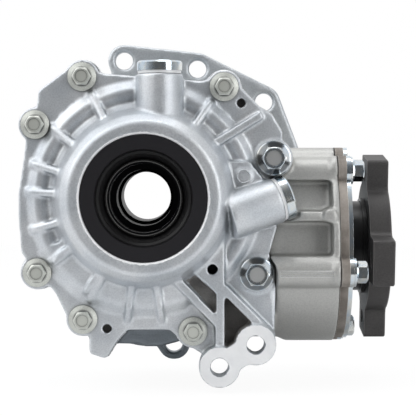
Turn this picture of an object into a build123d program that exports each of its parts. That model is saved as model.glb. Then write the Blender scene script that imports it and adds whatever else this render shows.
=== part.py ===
# Bevel-drive transfer case with a hollow through shaft and a four-lobed output flange.
# Millimetres, +Z up. The shaft line runs along Y through the origin, which lies on the
# gearbox mounting face. "Ahead" is the distance in front of that face, towards -Y.
import math
import os

from build123d import *

os.makedirs("parts", exist_ok=True)

# Distances ahead of the gearbox face
COVER_FACE = 150.0
COVER_FLANGE_FACE = 120.0
JOINT_FACE = 108.0
ARM_FACE = 130.0
LUG_FACE = 132.0
PAD_FACE = 128.0
PLATE_T = 14.0
SPIGOT_L = 12.0
SPIGOT_R = 48.0

# Shaft offset and gear pair
PINION_AHEAD = 52.0
PINION_DROP = 38.0
RING_TEETH = 38
PINION_TEETH = 15
PITCH_R = 32.0
TOOTH_FROM = 44.0
TOOTH_TO = 64.0
TOOTH_STEPS = 4
RING_ADDENDUM = 2.0
PINION_ADDENDUM = 2.4
DEDENDUM = 3.4
BACKLASH = 1.1
PRESSURE = math.radians(27)
RING_BORE_R = 46.5
RING_OUTER_R = 77.5
RING_BACK_T = 12.6

# Clearances
FIT = 0.03
SEALANT_T = 0.8
SEALANT_LIP = 0.4
CASE_LIP = 1.0
COVER_GAP = 0.5
SEAL_FIT = 0.05
CASE_GAP = 3.0
BOLT_PLAY = 0.5
OVERCUT = 1.0

# Main shaft
SHAFT_R = 28.0
SHOULDER_R = 33.0
SHAFT_REAR = -28.0
SHAFT_FRONT = 140.0
SEAL_TRACK_R = 27.6
FRONT_BORE_R = 24.5
MID_BORE_R = 20.5
WAIST_BORE_R = 18.4
REAR_BORE_R = 21.0
MID_BORE_AT = 112.0
WAIST_FROM = 80.0
WAIST_TO = 30.0
CARRIER_R = 66.0
CARRIER_T = 7.0
RING_BOLT_R = 57.0
RING_BOLTS = 10
RING_THREAD = 9.0
SPLINE_R = 24.5
SPLINE_DEPTH = 1.6
SPLINE_TEETH = 24

# Shaft bearings and seals
SHAFT_CUP_R = 42.0
SHAFT_BEARING_W = 17.0
SHIM_T = 1.5
REAR_CUP_AT = 5.0
FRONT_SEAT_STOP = 131.5
CUP_SHOULDER = 6.0
COVER_SEAL_R = 45.0
COVER_SEAL_W = 11.0
SEAL_SINK = 0.8
REAR_SEAL_R = 37.0
REAR_SEAL_W = 8.0

# Pinion line, distances along X
HEAD_BACK_X = 73.0
DEPTH_SHIM_T = 2.0
HEAD_BEARING_W = 16.0
HEAD_BORE_R = 20.0
HEAD_CUP_R = 36.0
TAIL_BORE_R = 17.0
TAIL_CUP_R = 36.0
TAIL_BEARING_W = 14.0
SPACER_TO_X = 106.0
BARREL_R = 72.0
BARREL_FROM_X = 58.0
PINION_WALL_FROM_X = 26.0
BARREL_END_X = 141.0
BARREL_FLANGE_T = 5.0
BARREL_FLAT_Z = -104.8
GEARBOX_SIDE_TO_X = 122.0
BARREL_BORE_R = 45.0
RETAINER_R = 70.0
RETAINER_T = 6.0
GASKET_T = 0.5
SEAL_PLATE_T = 3.0
RETAINER_BOLT_R = 70.0
RETAINER_BOLT_ANGLES = (35, 103, 204, 262, 320)
BOSS_R = 12.0
OUTPUT_SEAL_R = 30.0
OUTPUT_SEAL_W = 8.0
OUTPUT_SEAL_SINK = 1.5
HUB_R = 22.0
SPLINE_BORE_R = 14.5

# Output flange
FLANGE_FROM_X = 165.0
FLANGE_T = 16.0
LOBE_R = 68.0
LOBE_W = 34.0
LOBE_TURN = 8.5
LOBE_HOLE_PCD = 110.0
LOBE_HOLE_R = 5.5
FLANGE_WAIST_R = 49.0
THREAD_R = 11.0
NUT_FLATS = 32.0
NUT_H = 10.0
NUT_WASHER_T = 3.0
DEFLECTOR_R = 34.0
NUT_POCKET_R = 22.0

# Cover form
HUB_BASE_R = 64.5
HUB_TOP_R = 55.0
STEP_R = 83.0
STEP_H = 5.5
VALLEY_H = 2.5
RIB_W = 5.6
RIB_H = 12.0
RIB_END_R = 85.5
RIB_END_H = 2.5
RIB_ANGLES = (55, 117, 143, 163, 177, 196, 214, 242)
LONG_RIB_END_R = 91.5
LONG_RIB_END_H = 0.6
LONG_RIB_ANGLES = (262, 278)
LOBE_BOSS_R = 12.3
BIG_BOSS_R = 14.2
BIG_BOSS_H = 1.5
SMALL_BOLTS = ((-44.8, 86.8), (-78.5, 52.5), (-77.2, -53.9), (-44.4, -87.7), (34.9, -96.3), (57.2, 79.6))
BIG_BOLTS = ((92.7, 28.4), (80.7, -54.9))
LUGS = ((53.8, -121.1), (79.7, -105.1))
LUG_R = 14.8
LUG_T = 20.0
LUG_HOLE_R = 6.5
LUG_CLEAR_R = 13.0
ARM_W = 6.4
NEAR_POCKET_FLOOR = 120.6
FAR_POCKET_FLOOR = 111.0
DOWELS = ((69.5, 68.0), (-27.1, -94.5))
DOWEL_R = 3.2
TRUSS_HOLE = (48.7, -51.2)
TRUSS_HOLE_R = 3.6

# Gearbox plate
EARS = ((-19.0, 105.3), (38.7, 99.0), (90.9, 73.1), (20.1, -117.3))
EAR_R = 12.6
EAR_HOLE_R = 7.0
PLATE_R = 98.0
PLATE_CORNER = (108.0, 34.0)
PLATE_WEB = (2.0, 70.0)
PLATE_WEB_R = 20.0
SUMP_FROM = 34.0

# Plugs
PLUG_R = 16.2
PLUG_H = 7.0
PLUG_SHANK_R = 11.0
PLUG_SHANK_L = 14.0
WASHER_T = 2.0
SPOT_EDGE = 0.8
FILLER_X = 11.0
FILLER_AHEAD = 125.0
FILLER_TOP = 88.7
PLUG_BOSS_R = 16.6
LEVEL_FACE = (95.2, -125.0, -1.6)
LEVEL_DIR = (0.9266, 0.1969, 0.3206)
LEVEL_BOSS_L = 38.0

# Fasteners: thread radius, width across flats, washer face radius, head height
M8 = (4.0, 13.0, 8.8, 6.0)
M10 = (5.0, 12.0, 10.3, 10.3)
M10_WIDE = (5.0, 14.0, 10.3, 10.3)
M12 = (6.0, 15.6, 12.4, 11.0)
COVER_BOLT_L = 26.0
BIG_BOLT_L = 30.0
RETAINER_BOLT_L = 26.0
COVER_THREAD_L = 16.0
RETAINER_THREAD_L = 18.0

shaft_line = Plane.XZ
pinion_line = Plane(origin=(0, -PINION_AHEAD, -PINION_DROP), x_dir=(0, 0, 1), z_dir=(1, 0, 0))
filler_line = Plane(origin=(FILLER_X, -FILLER_AHEAD, FILLER_TOP), x_dir=(1, 0, 0), z_dir=(0, 0, 1))
level_line = Plane(origin=LEVEL_FACE, x_dir=(0, 0, 1), z_dir=LEVEL_DIR)
ratio = RING_TEETH / PINION_TEETH
case_face = JOINT_FACE - SEALANT_T
pitch_plane = PINION_AHEAD + PITCH_R
ring_front = pitch_plane + DEDENDUM + RING_BACK_T
carrier_front = ring_front + CARRIER_T
front_cup_at = FRONT_SEAT_STOP - SHIM_T - SHAFT_BEARING_W
retainer_from = BARREL_END_X + GASKET_T
seal_plate_from = retainer_from + RETAINER_T
bolt_seat_x = seal_plate_from + SEAL_PLATE_T
output_seal_from = seal_plate_from - OUTPUT_SEAL_SINK - OUTPUT_SEAL_W
head_bearing_from = HEAD_BACK_X + DEPTH_SHIM_T
head_cup_stop = head_bearing_from + HEAD_BEARING_W
tail_bearing_from = SPACER_TO_X
flange_hub_from = tail_bearing_from + TAIL_BEARING_W
rear_cone_at = REAR_CUP_AT + SHAFT_BEARING_W
washer_from = FLANGE_FROM_X + 1.5
shaft_end_x = washer_from + NUT_WASHER_T + NUT_H + 1.0


def half_section(line):
    """plane through a shaft line: x runs along it, y is the radius"""
    return Plane(origin=line.origin, x_dir=line.z_dir, z_dir=line.y_dir)


def line_axis(line):
    return Axis(line.origin, line.z_dir)


def turned(line, outline):
    """a turned piece from its half section of (along, radius) corners"""
    with BuildPart() as piece:
        with BuildSketch(half_section(line)):
            with BuildLine():
                Polyline(*outline, close=True)
            make_face()
        revolve(axis=line_axis(line))
    return piece.part


def ring(line, start, end, inner, outer, edge=0.0):
    """a plain ring between two places on a line, with chamfered outer edges"""
    outline = [(start, inner), (end, inner), (end, outer), (start, outer)]
    if edge > 0:
        outline[2:] = [(end, outer - edge), (end - edge, outer), (start + edge, outer), (start, outer - edge)]
    return turned(line, outline)


def keep(part, name):
    """label a finished piece and write it"""
    part.label = name
    export_step(part, f"parts/{name}.step")


def flange_bolt(size, shank):
    """hexagon flange bolt: seat at z = 0, head above it, shank below"""
    thread_r, flats, flange_r, height = size
    rim = flange_r * 0.16
    with BuildPart() as bolt:
        with BuildSketch(Plane.XZ):
            with BuildLine():
                Polyline(
                    (0, -shank), (thread_r - 0.8, -shank), (thread_r, 0.8 - shank), (thread_r, 0),
                    (flange_r, 0), (flange_r, rim), (flats / 2, 2 * rim), (0, 2 * rim), close=True,
                )
            make_face()
        revolve(axis=Axis.Z)
        with BuildSketch(Plane.XY.offset(rim)):
            RegularPolygon(radius=flats / 2, side_count=6, major_radius=False)
        extrude(amount=height - rim)
        with BuildSketch(Plane.XZ):
            with BuildLine():
                Polyline(
                    (0, -shank - 1), (flange_r + 1, -shank - 1), (flange_r + 1, height - 3),
                    (flats / 2 + 0.4, height - 0.9), (flats / 2 - 0.5, height), (0, height), close=True,
                )
            make_face()
        revolve(axis=Axis.Z, mode=Mode.INTERSECT)
        with BuildSketch(Plane.XY.offset(height)):
            Circle(flats * 0.36)
        extrude(amount=-0.7, mode=Mode.SUBTRACT)
    return bolt.part


def spread(piece, line, spots, height):
    """copies of one piece at spots on a plane across a line"""
    with BuildPart(line.offset(height)) as group:
        with Locations(*spots):
            add(piece)
    return group.part


def around(piece, line, angles):
    """copies of one piece, drawn in the line's own frame, turned about the line"""
    with BuildPart(line) as group:
        with Locations(*[Location((0, 0, 0), (0, 0, angle)) for angle in angles]):
            add(piece)
    return group.part


def polar(radius, angle):
    return (radius * math.cos(math.radians(angle)), radius * math.sin(math.radians(angle)))


# Joint outline, shared by the cover, the sealant and the case
def joint_outline(grow):
    """face of the cover joint, drawn in x and z, grown by a margin"""
    with BuildSketch() as face:
        with BuildLine():
            FilletPolyline(
                (-85, 43), (-77.5, 64), (-76, 77), (-54, 93.5), (-27.7, 88.7), (41, 83.5),
                (57, 88), (68.7, 80.2), (82, 66), (91.7, 60.2), (99, 48), (100, 28),
                (95.3, 13), (95.3, -22), (89.7, -41), (94.8, -58), (93.6, -98), (70, -119),
                (40, -112), (27.7, -104), (18, -95.4), (-12.5, -95.4), (-20, -104),
                (-27.7, -116.4), (-40, -112.4), (-39.5, -101), (-57, -84), (-64, -69),
                (-88.7, -40), (-90.8, -14), (-90.8, 2), (-86.7, 29),
                radius=2.5, close=True,
            )
        make_face()
        with Locations(*SMALL_BOLTS):
            Circle(LOBE_BOSS_R)
        with Locations(*BIG_BOLTS):
            Circle(BIG_BOSS_R)
        if grow > 0:
            offset(amount=grow, mode=Mode.REPLACE)
    return face.sketch


def case_outline(grow):
    """the joint outline without the lugs, which only the cover has"""
    with BuildSketch() as face:
        add(joint_outline(grow))
        with Locations(*LUGS):
            Circle(LUG_CLEAR_R, mode=Mode.SUBTRACT)
    return face.sketch


# Front cover: ribbed dome, truss arm, lug plate and plug bosses
def dome_rib(end_r, end_h):
    """one radial rib from the hub to its outer end, in the shaft line's own frame"""
    with BuildPart() as rib:
        with BuildSketch(Plane.XZ):
            with BuildLine():
                Polyline(
                    (HUB_TOP_R - 2, COVER_FLANGE_FACE), (HUB_TOP_R - 2, COVER_FLANGE_FACE + RIB_H + 6),
                    (HUB_BASE_R, COVER_FLANGE_FACE + RIB_H), (STEP_R - 1, COVER_FLANGE_FACE + STEP_H),
                    (end_r, COVER_FLANGE_FACE + end_h), (end_r, COVER_FLANGE_FACE), close=True,
                )
            make_face()
        extrude(amount=RIB_W / 2, both=True)
        crests = rib.edges().filter_by(Plane.XZ).filter_by(lambda e: e.center().Z > COVER_FLANGE_FACE + 1)
        fillet(crests.filter_by(lambda e: HUB_TOP_R < e.center().X < end_r - 0.1), RIB_W * 0.4)
    return rib.part


def front_cover():
    lug_back = LUG_FACE - LUG_T
    ribs = around(dome_rib(RIB_END_R, RIB_END_H), shaft_line, RIB_ANGLES)
    long_ribs = around(dome_rib(LONG_RIB_END_R, LONG_RIB_END_H), shaft_line, LONG_RIB_ANGLES)
    with BuildPart() as cover:
        with BuildSketch(shaft_line.offset(JOINT_FACE)):
            add(joint_outline(0))
        extrude(amount=COVER_FLANGE_FACE - JOINT_FACE)
        with BuildSketch(half_section(shaft_line)):
            with BuildLine():
                FilletPolyline(
                    (JOINT_FACE, COVER_SEAL_R - 3), (JOINT_FACE, STEP_R + 1.5),
                    (COVER_FLANGE_FACE, STEP_R + 1.5),
                    (COVER_FLANGE_FACE + STEP_H, STEP_R - 4.5), (COVER_FLANGE_FACE + STEP_H, STEP_R - 8.5),
                    (COVER_FLANGE_FACE + VALLEY_H, HUB_BASE_R + 4.5), (COVER_FLANGE_FACE + 8, HUB_BASE_R),
                    (COVER_FACE - 7, HUB_TOP_R + 4.5), (COVER_FACE, HUB_TOP_R - 1),
                    (COVER_FACE, COVER_SEAL_R - 3),
                    radius=(0, 0, 0, 1.8, 1.8, 2.4, 2.4, 9, 4, 0), close=True,
                )
            make_face()
        revolve(axis=line_axis(shaft_line))
        add(ribs)
        add(long_ribs)
        # long slanting rib above the side plug
        with BuildSketch(shaft_line.offset(COVER_FLANGE_FACE - 2)):
            with BuildLine():
                Line((50, 38.5), (84, 59.5))
            trace(line_width=RIB_W)
        extrude(amount=RIB_H - 1)
        # raised block with its pad, beside the side plug
        with BuildSketch(shaft_line.offset(JOINT_FACE)):
            with BuildLine():
                FilletPolyline((50, 26), (75.5, 26), (85, 14), (85, -6), (50, -6), radius=3, close=True)
            make_face()
        extrude(amount=PAD_FACE - JOINT_FACE)
        with BuildSketch(shaft_line.offset(PAD_FACE)):
            with Locations((71, 15.3)):
                Circle(6)
        extrude(amount=1.2)
        # side plug boss and filler boss, which run into the hub
        with BuildSketch(level_line):
            Circle(PLUG_BOSS_R)
        extrude(amount=-LEVEL_BOSS_L)
        with BuildSketch(shaft_line.offset(JOINT_FACE)):
            with BuildLine():
                Polyline((50, 0), (92, 8), (95.0, -17.5), (78, -22.5), (74, -27.5), (50, -28), close=True)
            make_face()
        extrude(amount=FILLER_AHEAD - JOINT_FACE)
        with BuildSketch(filler_line):
            Circle(PLUG_BOSS_R)
        extrude(amount=-(FILLER_TOP - HUB_TOP_R + 4))
        with BuildSketch(filler_line):
            with Locations((0, (FILLER_AHEAD - JOINT_FACE) / 2)):
                Rectangle(2 * PLUG_BOSS_R, FILLER_AHEAD - JOINT_FACE)
        extrude(amount=-(FILLER_TOP - HUB_TOP_R + 4))
        # truss arm down to the lug plate
        with BuildSketch(shaft_line.offset(JOINT_FACE)):
            with BuildLine():
                Polyline((22, -58), (54.1, -91.2), (54.1, -106))
                Polyline((54.4, -26), (54.4, -112))
                Line((57, -65), (92, -100))
            trace(line_width=ARM_W)
            with BuildLine():
                Polyline((36, -48), (54.4, -34), (54.4, -71), (34.6, -53.6), close=True)
            make_face()
            with Locations(TRUSS_HOLE):
                Circle(TRUSS_HOLE_R + 2.5)
        extrude(amount=ARM_FACE - JOINT_FACE)
        with BuildSketch(shaft_line.offset(lug_back)):
            with Locations(*LUGS):
                Circle(LUG_R)
            with BuildLine():
                Line(*LUGS)
            trace(line_width=LUG_R * 1.25)
        extrude(amount=LUG_T)
        # pockets of the truss
        with BuildSketch(shaft_line.offset(NEAR_POCKET_FLOOR)):
            with BuildLine():
                FilletPolyline((31.5, -60.2), (37, -56.8), (51, -69.2), (51, -82), radius=1.6, close=True)
            make_face()
        extrude(amount=LUG_FACE, mode=Mode.SUBTRACT)
        with BuildSketch(shaft_line.offset(FAR_POCKET_FLOOR)):
            with BuildLine():
                FilletPolyline(
                    (57.8, -71.2), (76, -89.6), (67.2, -96), (63.5, -104.7), (57.8, -106.4),
                    radius=1.4, close=True,
                )
            make_face()
        extrude(amount=LUG_FACE, mode=Mode.SUBTRACT)
        # raised seats of the two large bolts
        with BuildSketch(shaft_line.offset(COVER_FLANGE_FACE)):
            with Locations(*BIG_BOLTS):
                Circle(BIG_BOSS_R - 1)
        extrude(amount=BIG_BOSS_H)
        # spot faces of the small bolts, cut into the rib ends
        with BuildSketch(shaft_line.offset(COVER_FLANGE_FACE)):
            with Locations(*SMALL_BOLTS):
                Circle(M10[2] + SPOT_EDGE)
        extrude(amount=RIB_H, mode=Mode.SUBTRACT)
        # bearing seat, seal bore and the room for the crown gear
        with BuildSketch(half_section(shaft_line)):
            with BuildLine():
                Polyline(
                    (JOINT_FACE - 5, 0), (COVER_FACE + 5, 0), (COVER_FACE + 5, COVER_SEAL_R + 1.2),
                    (COVER_FACE, COVER_SEAL_R + 1.2), (COVER_FACE - 1.2, COVER_SEAL_R),
                    (COVER_FACE - SEAL_SINK - COVER_SEAL_W, COVER_SEAL_R),
                    (COVER_FACE - SEAL_SINK - COVER_SEAL_W, SHAFT_CUP_R - CUP_SHOULDER),
                    (FRONT_SEAT_STOP, SHAFT_CUP_R - CUP_SHOULDER), (FRONT_SEAT_STOP, SHAFT_CUP_R),
                    (front_cup_at - 2, SHAFT_CUP_R), (front_cup_at - 2, SHAFT_CUP_R + 5),
                    (COVER_FLANGE_FACE - 2, SHAFT_CUP_R + 6), (COVER_FLANGE_FACE - 2, CARRIER_R + 6),
                    (carrier_front + CASE_GAP, STEP_R - 4), (JOINT_FACE - 5, STEP_R - 4), close=True,
                )
            make_face()
        revolve(axis=line_axis(shaft_line), mode=Mode.SUBTRACT)
        # bolt, dowel and lug holes
        with BuildSketch(shaft_line.offset(JOINT_FACE)):
            with Locations(*SMALL_BOLTS):
                Circle(M10[0] + BOLT_PLAY)
            with Locations(*BIG_BOLTS):
                Circle(M12[0] + BOLT_PLAY)
            with Locations(*DOWELS):
                Circle(DOWEL_R)
            with Locations(*LUGS):
                Circle(LUG_HOLE_R)
        extrude(amount=LUG_FACE, mode=Mode.SUBTRACT)
        with BuildSketch(shaft_line.offset(NEAR_POCKET_FLOOR)):
            with Locations(TRUSS_HOLE):
                Circle(TRUSS_HOLE_R)
        extrude(amount=LUG_FACE, mode=Mode.SUBTRACT)
        # flat seats of the plugs
        for line in (level_line, filler_line):
            with BuildSketch(line):
                Circle(PLUG_BOSS_R + SPOT_EDGE)
            extrude(amount=PLUG_H + WASHER_T + 4, mode=Mode.SUBTRACT)
        # threaded holes of the plugs
        with BuildSketch(level_line):
            Circle(PLUG_SHANK_R + FIT)
        extrude(amount=-PLUG_SHANK_L - 2, mode=Mode.SUBTRACT)
        with BuildSketch(filler_line):
            Circle(PLUG_SHANK_R + FIT)
        extrude(amount=-PLUG_SHANK_L - 2, mode=Mode.SUBTRACT)
    return cover.part


# Main case: joint flange, crown gear drum, gearbox plate and pinion barrel
def gearbox_plate():
    """outline of the plate against the gearbox, in x and z"""
    with BuildSketch() as face:
        Circle(PLATE_R)
        with BuildSketch(mode=Mode.PRIVATE) as upper:
            with Locations(*EARS[:3]):
                Circle(EAR_R)
            with Locations(PLATE_CORNER):
                Circle(EAR_R - 2)
            with Locations(PLATE_WEB):
                Circle(PLATE_WEB_R)
            make_hull()
        add(upper.sketch)
        with BuildSketch(mode=Mode.PRIVATE) as lower:
            with Locations(EARS[3]):
                Circle(EAR_R)
            Circle(PLATE_R * 0.6)
            make_hull()
        add(lower.sketch)
        with BuildLine():
            FilletPolyline(
                (-24.7, -80), (-24.7, -115.7), (-4.3, -119.6), (12, -118), (12, -80),
                radius=2, close=True,
            )
        make_face()
        with BuildLine():
            FilletPolyline(
                (60, 40), (PLATE_CORNER[0] + 9, 34), (112, -40), (80, -78), (30, -70),
                radius=8, close=True,
            )
        make_face()
    return face.sketch


def barrel_section(shell_r):
    """section across the pinion barrel: drum with a boss at each retainer bolt"""
    with BuildSketch() as face:
        Circle(shell_r)
        for angle in RETAINER_BOLT_ANGLES:
            with Locations(polar(RETAINER_BOLT_R - 3, angle)):
                Circle(BOSS_R)
        with Locations(polar(RETAINER_BOLT_R - 6, 12)):
            Circle(BOSS_R)
    return face.sketch


def retainer_outline():
    """outline of the retainer joint, shared by gasket, retainer and seal plate"""
    with BuildSketch() as face:
        Circle(RETAINER_R)
        for angle in RETAINER_BOLT_ANGLES:
            with Locations(polar(RETAINER_BOLT_R, angle)):
                Circle(BOSS_R - 1)
        with Locations(polar(RETAINER_BOLT_R - 6, 12)):
            Circle(BOSS_R)
    return face.sketch


def main_case():
    drum_r = RING_OUTER_R + 9
    cavity_r = RING_OUTER_R + CASE_GAP
    joint_flange_t = 18.0
    mesh_room = PITCH_R + PINION_ADDENDUM + CASE_GAP
    with BuildPart() as case:
        with BuildSketch(shaft_line.offset(case_face - joint_flange_t)):
            add(case_outline(CASE_LIP))
        extrude(amount=joint_flange_t)
        with BuildSketch(half_section(shaft_line)):
            with BuildLine():
                FilletPolyline(
                    (0, 0), (case_face - 1, 0), (case_face - 1, drum_r - 2),
                    (case_face - joint_flange_t, drum_r),
                    (PLATE_T + 26, drum_r - 3), (PLATE_T, drum_r - 16), (0, drum_r - 16),
                    radius=(0, 0, 0, 0, 10, 6, 0), close=True,
                )
            make_face()
        revolve(axis=line_axis(shaft_line))
        with BuildSketch(shaft_line):
            add(gearbox_plate())
        extrude(amount=PLATE_T)
        # deeper lower part, seen below the cover
        with BuildSketch(shaft_line.offset(SUMP_FROM)):
            with BuildLine():
                FilletPolyline(
                    (-23.8, -80), (-23.8, -108.8), (-3.5, -109.2), (-1.5, -111), (11, -111),
                    (26, -107), (28, -80),
                    radius=1.2, close=True,
                )
            make_face()
        extrude(amount=case_face - joint_flange_t - SUMP_FROM)
        # wall round the pinion, inside the drum
        with BuildSketch(pinion_line.offset(PINION_WALL_FROM_X)):
            Circle(mesh_room + 7)
        extrude(amount=BARREL_FROM_X + 2 - PINION_WALL_FROM_X)
        # pinion barrel, cut flat where the gearbox lies against it
        with BuildSketch(pinion_line.offset(BARREL_FROM_X)):
            add(barrel_section(BARREL_R))
        extrude(amount=BARREL_END_X - BARREL_FROM_X)
        with BuildSketch(pinion_line.offset(BARREL_FROM_X - OVERCUT)):
            with Locations((0, -PINION_AHEAD - BARREL_R)):
                Rectangle(4 * BARREL_R, 2 * BARREL_R)
        extrude(amount=GEARBOX_SIDE_TO_X - BARREL_FROM_X, mode=Mode.SUBTRACT)
        # underside cut flat near the drum, with a slanted shoulder
        with BuildSketch(shaft_line.offset(PINION_AHEAD - 32)):
            with BuildLine():
                Polyline(
                    (BARREL_FROM_X - OVERCUT, BARREL_FLAT_Z), (97.5, BARREL_FLAT_Z),
                    (105.5, -PINION_DROP - BARREL_R),
                    (105.5, -130), (BARREL_FROM_X - OVERCUT, -130), close=True,
                )
            make_face()
        extrude(amount=64, mode=Mode.SUBTRACT)
        # cast pockets on the near side, with a rib and a round pad between them
        with BuildSketch(pinion_line.offset(BARREL_FROM_X)):
            with BuildLine():
                FilletPolyline((-4, 56), (-4, 90), (21, 90), (21, 52), radius=(3, 0, 0, 3), close=True)
            make_face()
            with BuildLine():
                FilletPolyline((28, 50), (28, 90), (52, 90), (50, 40), radius=(3, 0, 0, 3), close=True)
            make_face()
        extrude(amount=BARREL_END_X - BARREL_FLANGE_T - BARREL_FROM_X, mode=Mode.SUBTRACT)
        with BuildSketch(pinion_line.offset(BARREL_END_X - BARREL_FLANGE_T)):
            with BuildLine():
                Polyline((-6, 50), (-6, 62), (45, 50), (45, 30), close=True)
            make_face()
        extrude(amount=BARREL_FLANGE_T)
        with BuildSketch(shaft_line.offset(PINION_AHEAD + 40)):
            with Locations((BARREL_END_X - 7, -PINION_DROP + 25)):
                Circle(5.2)
        extrude(amount=31)
        with BuildSketch(pinion_line.offset(BARREL_END_X - BARREL_FLANGE_T)):
            add(retainer_outline())
        extrude(amount=BARREL_FLANGE_T)
        # the barrel stops short of the cover
        with BuildSketch(shaft_line.offset(case_face)):
            add(joint_outline(COVER_GAP))
        extrude(amount=BARREL_R, mode=Mode.SUBTRACT)
        # and leaves room for the level plug
        with BuildSketch(level_line.offset(-LEVEL_BOSS_L)):
            Circle(PLUG_BOSS_R + 1.6)
        extrude(amount=LEVEL_BOSS_L + PLUG_H + WASHER_T + 5, mode=Mode.SUBTRACT)
        # spigot that centres the case in the gearbox, with its ring groove
        with BuildSketch(half_section(shaft_line)):
            with BuildLine():
                Polyline(
                    (1, 0), (1, SPIGOT_R), (-3.2, SPIGOT_R), (-3.2, SPIGOT_R - 2.4), (-6.4, SPIGOT_R - 2.4),
                    (-6.4, SPIGOT_R), (1.5 - SPIGOT_L, SPIGOT_R), (-SPIGOT_L, SPIGOT_R - 1.5), (-SPIGOT_L, 0),
                    close=True,
                )
            make_face()
        revolve(axis=line_axis(shaft_line))
        # room for shaft, bearing and crown gear
        with BuildSketch(half_section(shaft_line)):
            with BuildLine():
                Polyline(
                    (-SPIGOT_L - 1, 0), (-SPIGOT_L - 1, REAR_SEAL_R),
                    (-SPIGOT_L + 2 + REAR_SEAL_W, REAR_SEAL_R),
                    (-SPIGOT_L + 2 + REAR_SEAL_W, SHAFT_CUP_R - CUP_SHOULDER),
                    (REAR_CUP_AT, SHAFT_CUP_R - CUP_SHOULDER), (REAR_CUP_AT, SHAFT_CUP_R),
                    (rear_cone_at + 2, SHAFT_CUP_R), (rear_cone_at + 2, SHAFT_CUP_R + 3),
                    (pitch_plane - 6, SHAFT_CUP_R + 3), (pitch_plane - 6, cavity_r),
                    (JOINT_FACE + 1, cavity_r),
                    (JOINT_FACE + 1, 0), close=True,
                )
            make_face()
        revolve(axis=line_axis(shaft_line), mode=Mode.SUBTRACT)
        # room for the pinion, its bearing seats and the retainer sleeve
        with BuildSketch(half_section(pinion_line)):
            with BuildLine():
                Polyline(
                    (TOOTH_FROM - 12, 0), (TOOTH_FROM - 12, mesh_room), (HEAD_BACK_X + 1, mesh_room),
                    (HEAD_BACK_X + 1, HEAD_CUP_R), (head_cup_stop, HEAD_CUP_R),
                    (head_cup_stop, HEAD_CUP_R - 5), (head_cup_stop + 7, HEAD_CUP_R - 5),
                    (head_cup_stop + 7, BARREL_BORE_R), (BARREL_END_X + 1, BARREL_BORE_R),
                    (BARREL_END_X + 1, 0), close=True,
                )
            make_face()
        revolve(axis=line_axis(pinion_line), mode=Mode.SUBTRACT)
        # holes of the plate, the joint and the retainer
        with BuildSketch(shaft_line):
            with Locations(*EARS):
                Circle(EAR_HOLE_R)
        extrude(amount=SUMP_FROM - OVERCUT, mode=Mode.SUBTRACT)
        with BuildSketch(shaft_line.offset(case_face)):
            with Locations(*SMALL_BOLTS):
                Circle(M10[0] + FIT)
            with Locations(*BIG_BOLTS):
                Circle(M12[0] + FIT)
            with Locations(*DOWELS):
                Circle(DOWEL_R)
        extrude(amount=-COVER_THREAD_L, mode=Mode.SUBTRACT)
        with BuildSketch(pinion_line.offset(BARREL_END_X)):
            for angle in RETAINER_BOLT_ANGLES:
                with Locations(polar(RETAINER_BOLT_R, angle)):
                    Circle(M10[0] + FIT)
        extrude(amount=-RETAINER_THREAD_L, mode=Mode.SUBTRACT)
    return case.part


# Sealant bead, dowels and fasteners of the cover
def cover_sealant():
    with BuildPart() as bead:
        with BuildSketch(shaft_line.offset(case_face)):
            add(case_outline(SEALANT_LIP))
            Circle(STEP_R - 2, mode=Mode.SUBTRACT)
            with Locations(*SMALL_BOLTS, *BIG_BOLTS):
                Circle(M12[0] + 1, mode=Mode.SUBTRACT)
            with Locations(*DOWELS):
                Circle(DOWEL_R + 1, mode=Mode.SUBTRACT)
        extrude(amount=SEALANT_T)
    return bead.part


def dowel_pin():
    with BuildPart() as pin:
        with BuildSketch():
            Circle(DOWEL_R - FIT)
        extrude(amount=7, both=True)
        chamfer(pin.edges(), 0.5)
    return pin.part


# Filler and level plugs with their sealing washers
def plug():
    """round-headed plug with a hexagon socket: seat at z = 0"""
    with BuildPart() as body:
        with BuildSketch(Plane.XZ):
            with BuildLine():
                Polyline(
                    (0, -PLUG_SHANK_L), (PLUG_SHANK_R - 1, -PLUG_SHANK_L), (PLUG_SHANK_R, 1 - PLUG_SHANK_L),
                    (PLUG_SHANK_R, 0), (PLUG_R, 0), (PLUG_R, PLUG_H - 1.2), (PLUG_R - 1.2, PLUG_H),
                    (0, PLUG_H),
                    close=True,
                )
            make_face()
        revolve(axis=Axis.Z)
        with BuildSketch(Plane.XY.offset(PLUG_H)):
            RegularPolygon(radius=6, side_count=6, major_radius=False)
        extrude(amount=-PLUG_H - 2, mode=Mode.SUBTRACT)
    return body.part


# Crown gear: a face gear whose tooth line is the path the pinion rolls along it
def lead(x):
    """how far the tooth line has moved round the pinion at x"""
    return ((x - ratio * PITCH_R) ** 2) / (2 * PINION_DROP * PITCH_R)


def twist(x):
    return lead(x) - lead((TOOTH_FROM + TOOTH_TO) / 2)


def tooth_stations():
    step = (TOOTH_TO - TOOTH_FROM) / TOOTH_STEPS
    return [TOOTH_FROM + step * k for k in range(TOOTH_STEPS + 1)]


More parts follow.
